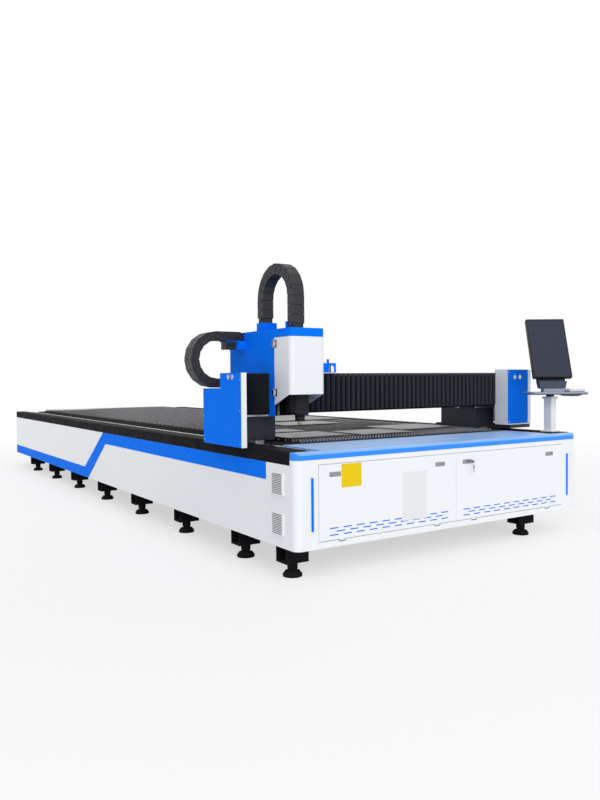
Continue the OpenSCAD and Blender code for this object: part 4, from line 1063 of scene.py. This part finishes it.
class CUTTER_OT_cover_trim(CutterOperator):
    """Adds the trim, plugs, hinges and screws of the covers"""

    bl_idname = "cutter.cover_trim"
    bl_label = "Cover trim"

    strip_width = 40 * MM
    plug_radius, plug_depth = 19 * MM, 6 * MM
    plug_steps = ((5 * MM, -1.5 * MM), (2 * MM, 2.5 * MM))
    screw_radius = 5 * MM
    # Places in mm: along Y and up on the left cover, along X and up on the right panel
    left_plugs = ((-3258, 1277), (-3200, 1277))
    left_screws = ((-3362, 1258), (-3362, 1050), (-3362, 832), (-3085, 1284),
                   (-2816, 1182), (-2816, 1000), (-2816, 832))
    right_plugs = ((1223, 1263.5), (1287, 1263.5))
    right_screws = ((1384, 1304), (1384, 884), (1152, 1304), (1152, 884))
    barrel_radius, barrel_length = 7.6 * MM, 56 * MM
    hinge_above, hinge_below = 87 * MM, 43 * MM
    leaf_near, leaf_far = 2 * MM, 34 * MM
    leaf_half, leaf_depth = 26 * MM, 2.2 * MM
    leaf_screws = (-15 * MM, 15 * MM)

    def execute(self, context):
        low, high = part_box("end_cover_left")
        strip = soft_block("cover_strip", (low.x - 0.4 * MM, low.y - 1.6 * MM, low.z),
                           (low.x + self.strip_width + 0.4 * MM, low.y + 0.8 * MM, high.z), 0.8 * MM)
        dress(strip, "gantry", "white_paint")
        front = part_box("end_panel_right")[0].y

        def on_left(places):
            return [((low.x, y * MM, z * MM), -X_AXIS) for y, z in places]

        def on_right(places):
            return [((x * MM, front, z * MM), -Y_AXIS) for x, z in places]

        parts = [self.plug(*spot) for spot in on_left(self.left_plugs) + on_right(self.right_plugs)]
        parts += [screw("cover_plugs", *spot, self.screw_radius)
                  for spot in on_left(self.left_screws) + on_right(self.right_screws)]
        dress(join("cover_plugs", parts), "gantry", "machined_steel")
        self.hinges()
        return {"FINISHED"}

    def plug(self, place, axis):
        """A round blanking plug with a raised middle."""
        cap = drum("cover_plugs", Vector(place) + axis * MM, self.plug_radius, self.plug_depth, axis, 28)
        inset_faces(cap, lambda c, n: n.dot(axis) > FACING, *self.plug_steps)
        return round_edges(cap, 0.8 * MM)

    def hinges(self):
        """Barrels and leaves of the head cover's hinges."""
        x, y = joint_of("head_cover_hinge")["pos_m"][:2]
        low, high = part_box("head_cover")
        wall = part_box("carriage_plate")[0].x - 4 * MM
        face = wall - self.leaf_depth
        near, far, half = self.leaf_near, self.leaf_far, self.leaf_half
        barrels, leaves = [], []
        for z in (low.z + self.hinge_above, high.z - self.hinge_below):
            barrel = drum("hinge_barrels", (x, y, z), self.barrel_radius, self.barrel_length)
            barrels.append(round_edges(barrel, 1.5 * MM))
            for parts, start, end in ((barrels, y + near, y + far), (leaves, y - far, y - near)):
                parts.append(soft_block("hinge_leaf", (face, start, z - half),
                                        (wall + 0.2 * MM, end, z + half), 0.7 * MM))
                for rise in self.leaf_screws:
                    parts.append(screw("hinge_leaf", (face, (start + end) / 2, z + rise), -X_AXIS, 4 * MM))
        dress(join("hinge_barrels", barrels), "carriage", "chrome")
        dress(join("hinge_leaves", leaves), "head_cover", "chrome")


class CUTTER_OT_door_fittings(CutterOperator):
    """Adds the blank plate and the clear pouch on the left door"""

    bl_idname = "cutter.door_fittings"
    bl_label = "Door fittings"

    plate_low, plate_high = (-1006 * MM, 571 * MM), (-848 * MM, 720 * MM)
    pouch_low, pouch_high = (-500 * MM, 300 * MM), (-280 * MM, 627 * MM)
    plate_depth, pouch_depth = 1.6 * MM, 2.4 * MM
    rivet_inset, rivet_radius = 9 * MM, 3.5 * MM
    corner = 7 * MM

    def execute(self, context):
        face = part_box("door_left")[0].y
        plate = self.card("blank_plate", self.plate_low, self.plate_high, face, self.plate_depth)
        dress(plate, "door_left", "white_paint", material="plate_yellow")
        (x0, z0), (x1, z1) = self.plate_low, self.plate_high
        inset = self.rivet_inset
        rivets = [screw("plate_rivets", (x, face - self.plate_depth, z), -Y_AXIS, self.rivet_radius)
                  for x in (x0 + inset, x1 - inset) for z in (z0 + inset, z1 - inset)]
        dress(join("plate_rivets", rivets), "door_left", "chrome")
        pouch = self.card("clear_pouch", self.pouch_low, self.pouch_high, face, self.pouch_depth)
        inset_faces(pouch, lambda c, n: n.y < -FACING, (4.5 * MM, 0), (1.2 * MM, -1.2 * MM))
        dress(smooth(pouch), "door_left", "control_white", material="clear_sleeve")
        return {"FINISHED"}

    def card(self, name, low, high, face, thickness):
        """A thin card with round corners on the door's face."""
        card = block(name, (low[0], face - thickness, low[1]), (high[0], face + 0.2 * MM, high[1]))
        edit(card, "EDGE")
        mesh = bmesh.from_edit_mesh(card.data)
        for line in mesh.edges:
            line.select_set(abs(line.verts[0].co.y - line.verts[1].co.y) > thickness / 2)
        bmesh.update_edit_mesh(card.data)
        bpy.ops.mesh.bevel(offset=self.corner, segments=4)
        close_edit()
        return smooth(card)


class CUTTER_OT_desk(CutterOperator):
    """Rounds the hand controls and adds their keys and the web of the monitor's bracket"""

    bl_idname = "cutter.desk"
    bl_label = "Desk controls"

    remote_place = (190 * MM, -45 * MM, 22 * MM)
    remote_turn = 20
    # Places of the keys in mm, and corners of the pad, from the middle of the remote
    keys = ((-34, 14), (-8, 14), (14, -13), (34, -13), (54, -13))
    key_radius, key_depth = 6 * MM, 4 * MM
    pad_low, pad_high = Vector((-68, -24, -1)) * MM, Vector((-44, 24, 1.2)) * MM
    # Corners of the web from the post's axis at the shelf's top
    web_low, web_high = Vector((-52, -70, 86)) * MM, Vector((26, -42, 109)) * MM

    def execute(self, context):
        softened("desk_controls", 9 * MM, 4)
        post = Vector((*joint_of("console_swivel")["pos_m"][:2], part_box("desk_controls")[0].z))
        console = Matrix.Translation(post) @ spin(context.scene.cutter_sizes.console_turn, "Z")
        remote = console @ Matrix.Translation(self.remote_place) @ spin(self.remote_turn, "Z")
        keys = []
        for u, v in self.keys:
            key = drum("remote_keys", (u * MM, v * MM, 0.6 * MM), self.key_radius, self.key_depth, sides=20)
            key.data.transform(remote)
            keys.append(round_edges(key, 1.2 * MM))
        dress(join("remote_keys", keys), "console", "control_white", material="button_orange")
        pad = block("remote_pad", self.pad_low, self.pad_high)
        pad.data.transform(remote)
        dress(round_edges(pad, 1.0 * MM), "console", "monitor_black")
        web = block("bracket_web", self.web_low, self.web_high)
        web.data.transform(console)
        dress(round_edges(web, 3 * MM), "console", "bracket_grey")
        return {"FINISHED"}


class CUTTER_OT_head_details(CutterOperator):
    """Adds the head's guide strips, rings and drive housing, and the valve sleeves"""

    bl_idname = "cutter.head_details"
    bl_label = "Head details"

    rail_offset = 75 * MM
    rail_back = 14 * MM
    rail_half = 9.6 * MM
    rail_foot, rail_head = 6 * MM, 20 * MM
    valve_places = (102 * MM, 182 * MM, 262 * MM)
    valve_radius = 24 * MM
    valve_rise = 52 * MM
    tray_wall = 4 * MM
    cap_rim, cap_rise, cap_share = 6 * MM, 14 * MM, 0.7
    knob_height, knob_radius, knob_depth = 38 * MM, 11 * MM, 12 * MM
    nozzle_radius = 16 * MM
    # Height above the nozzle, radius and depth of the clamp rings in mm
    ring_sizes = ((8, 35, 9), (36, 35.5, 12))
    ring_sides = 40
    drive_reach, drive_inset = 42 * MM, 18 * MM
    drive_bottom, drive_top = 62 * MM, 200 * MM

    def execute(self, context):
        low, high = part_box("laser_head")
        self.guides((low.x + high.x) / 2)
        self.rings(low, high)
        self.drive_box(low, high)
        self.valves()
        return {"FINISHED"}

    def guides(self, middle):
        """Ground faces of the head's two upright rails."""
        low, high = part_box("carriage_plate")
        face = low.y + self.rail_back
        strips = []
        for side in (-1, 1):
            x = middle + side * self.rail_offset
            strips.append(block("head_guides", (x - self.rail_half, face - 0.2 * MM, low.z + self.rail_foot),
                                (x + self.rail_half, face + 2 * MM, high.z - self.rail_head)))
        dress(join("head_guides", strips), "carriage", "machined_steel")

    def rings(self, low, high):
        """Clamp rings round the focus barrel and a pale ring above the nozzle."""
        nozzle_low, nozzle_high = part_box("nozzle")
        x, y = (low.x + high.x) / 2, nozzle_low.y + self.nozzle_radius
        base = nozzle_high.z
        step = 2 * math.pi / self.ring_sides
        parts = []
        for z, radius, depth in self.ring_sizes:
            ring = drum("head_rings", (x, y, base + z * MM), radius * MM, depth * MM, Z_AXIS, self.ring_sides)
            inset_faces(ring, lambda c, n: abs(n.z) < 0.1 and round(math.atan2(n.y, n.x) / step) % 2 == 0,
                        (0.8 * MM, -0.9 * MM), single=True)
            parts.append(smooth(ring))
        dress(join("head_rings", parts), "z_slide", "head_graphite", material="motor_black")
        seat = drum("nozzle_seat", (x, y, base - 3 * MM), 18.5 * MM, 6 * MM, Z_AXIS, 32)
        dress(round_edges(seat, 1.2 * MM), "z_slide", "head_graphite", material="control_white")

    def drive_box(self, low, high):
        """Housing of the focus drive on the head's left side, with recessed panels in two faces."""
        box = block("focus_drive",
                    (low.x - self.drive_reach, low.y + self.drive_inset, low.z + self.drive_bottom),
                    (low.x + 2 * MM, high.y - self.drive_inset, low.z + self.drive_top))
        inset_faces(box, lambda c, n: min(n.x, n.y) < -FACING, (5 * MM, -1.5 * MM), single=True)
        dress(round_edges(box, 3 * MM), "z_slide", "head_graphite", material="motor_black")

    def valves(self):
        """Bright sleeves round the valves in the tray; the first one is brass."""
        tray_low, tray_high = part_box("valve_bracket")
        y = (tray_low.y + tray_high.y) / 2
        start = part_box("head_housing")[1].x
        steel = []
        for index, place in enumerate(self.valve_places):
            foot = Vector((start + place, y, tray_low.z + self.tray_wall))
            sleeve = drum("valve_sleeve", foot + Z_AXIS * (self.valve_rise / 2 + 0.5 * MM),
                          self.valve_radius + 0.8 * MM, self.valve_rise, Z_AXIS, 32)
            edit(sleeve)
            pick_faces(sleeve, lambda c, n: n.z > FACING)
            bpy.ops.mesh.inset(thickness=self.cap_rim, depth=0)
            bpy.ops.mesh.extrude_region_move(TRANSFORM_OT_translate={"value": (0, 0, self.cap_rise)})
            bpy.ops.transform.resize(value=(self.cap_share, self.cap_share, 1))
            close_edit()
            round_edges(sleeve, 1.2 * MM)
            centre = foot + Z_AXIS * (self.valve_rise + self.knob_height)
            knob = drum("valve_sleeve", centre, self.knob_radius, self.knob_depth, sides=6)
            parts = [sleeve, round_edges(knob, 1.0 * MM)]
            if index == 0:
                dress(join("valve_brass", parts), "carriage", "brass")
            else:
                steel += parts
        dress(join("valve_sleeves", steel), "carriage", "machined_steel", material="sheet_steel")


class CUTTER_OT_fasteners(CutterOperator):
    """Sets the screws of the guide rails and the bright edges of the saddles"""

    bl_idname = "cutter.fasteners"
    bl_label = "Fasteners"

    screw_pitch = 240 * MM
    screw_inset = 120 * MM
    screw_radius = 6.5 * MM
    rail_x = 1142 * MM
    flange_ends = (1006 * MM, 1264 * MM)
    flange_front = -3128 * MM
    flange_depth = 18 * MM

    def execute(self, context):
        self.rail_screws()
        self.saddle_edges()
        return {"FINISHED"}

    def rail_screws(self):
        """Rows of socket screws along the tops of the two long rails."""
        low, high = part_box("y_tracks")
        count = int((high.y - low.y - 2 * self.screw_inset) / self.screw_pitch) + 1
        model = screw("rail_screws", (0, 0, high.z - 1.5 * MM), Z_AXIS, self.screw_radius)
        copies = [copy_piece(model, "rail_screws", Matrix.Translation(
            (side * self.rail_x, low.y + self.screw_inset + i * self.screw_pitch, 0)))
            for side in (-1, 1) for i in range(count)]
        bpy.data.objects.remove(model)
        dress(join("rail_screws", copies), "bed", "chrome")

    def saddle_edges(self):
        """Ground front edges of the saddles' flanges."""
        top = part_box("gantry_beam")[0].z
        strips = []
        for side in (-1, 1):
            ends = sorted(side * x for x in self.flange_ends)
            strips.append(block("saddle_edges",
                                (ends[0], self.flange_front - 0.8 * MM, top - self.flange_depth + 2 * MM),
                                (ends[1], self.flange_front + MM, top - 2 * MM)))
        dress(join("saddle_edges", strips), "gantry", "machined_steel")


class CUTTER_PT_panel(bpy.types.Panel):
    """Buttons for the operators that build the machine's looks"""

    bl_idname = "CUTTER_PT_panel"
    bl_label = "Laser Cutter"
    bl_space_type = "VIEW_3D"
    bl_region_type = "UI"
    bl_category = "Cutter"

    def draw(self, context):
        for operator in OPERATORS:
            self.layout.operator(operator.bl_idname)


OPERATORS = (CUTTER_OT_stage, CUTTER_OT_finishes, CUTTER_OT_housings, CUTTER_OT_slats, CUTTER_OT_bellows,
             CUTTER_OT_chains, CUTTER_OT_cover_trim, CUTTER_OT_door_fittings, CUTTER_OT_desk,
             CUTTER_OT_head_details, CUTTER_OT_fasteners)
SETTINGS = (FinishColours, DetailSizes, StageSettings)


def register():
    for kind in SETTINGS + OPERATORS + (CUTTER_PT_panel,):
        bpy.utils.register_class(kind)
    bpy.types.Scene.cutter_colours = bpy.props.PointerProperty(type=FinishColours)
    bpy.types.Scene.cutter_sizes = bpy.props.PointerProperty(type=DetailSizes)
    bpy.types.Scene.cutter_stage = bpy.props.PointerProperty(type=StageSettings)


def unregister():
    del bpy.types.Scene.cutter_stage
    del bpy.types.Scene.cutter_sizes
    del bpy.types.Scene.cutter_colours
    for kind in reversed(SETTINGS + OPERATORS + (CUTTER_PT_panel,)):
        bpy.utils.unregister_class(kind)


def main():
    """Builds the scene."""
    register()
    bpy.ops.cutter.stage()
    bpy.ops.cutter.finishes()
    bpy.ops.cutter.housings()
    bpy.ops.cutter.slats()
    bpy.ops.cutter.bellows()
    bpy.ops.cutter.chains()
    bpy.ops.cutter.cover_trim()
    bpy.ops.cutter.door_fittings()
    bpy.ops.cutter.desk()
    bpy.ops.cutter.head_details()
    bpy.ops.cutter.fasteners()
    deselect()


if __name__ == "__main__":
    main()
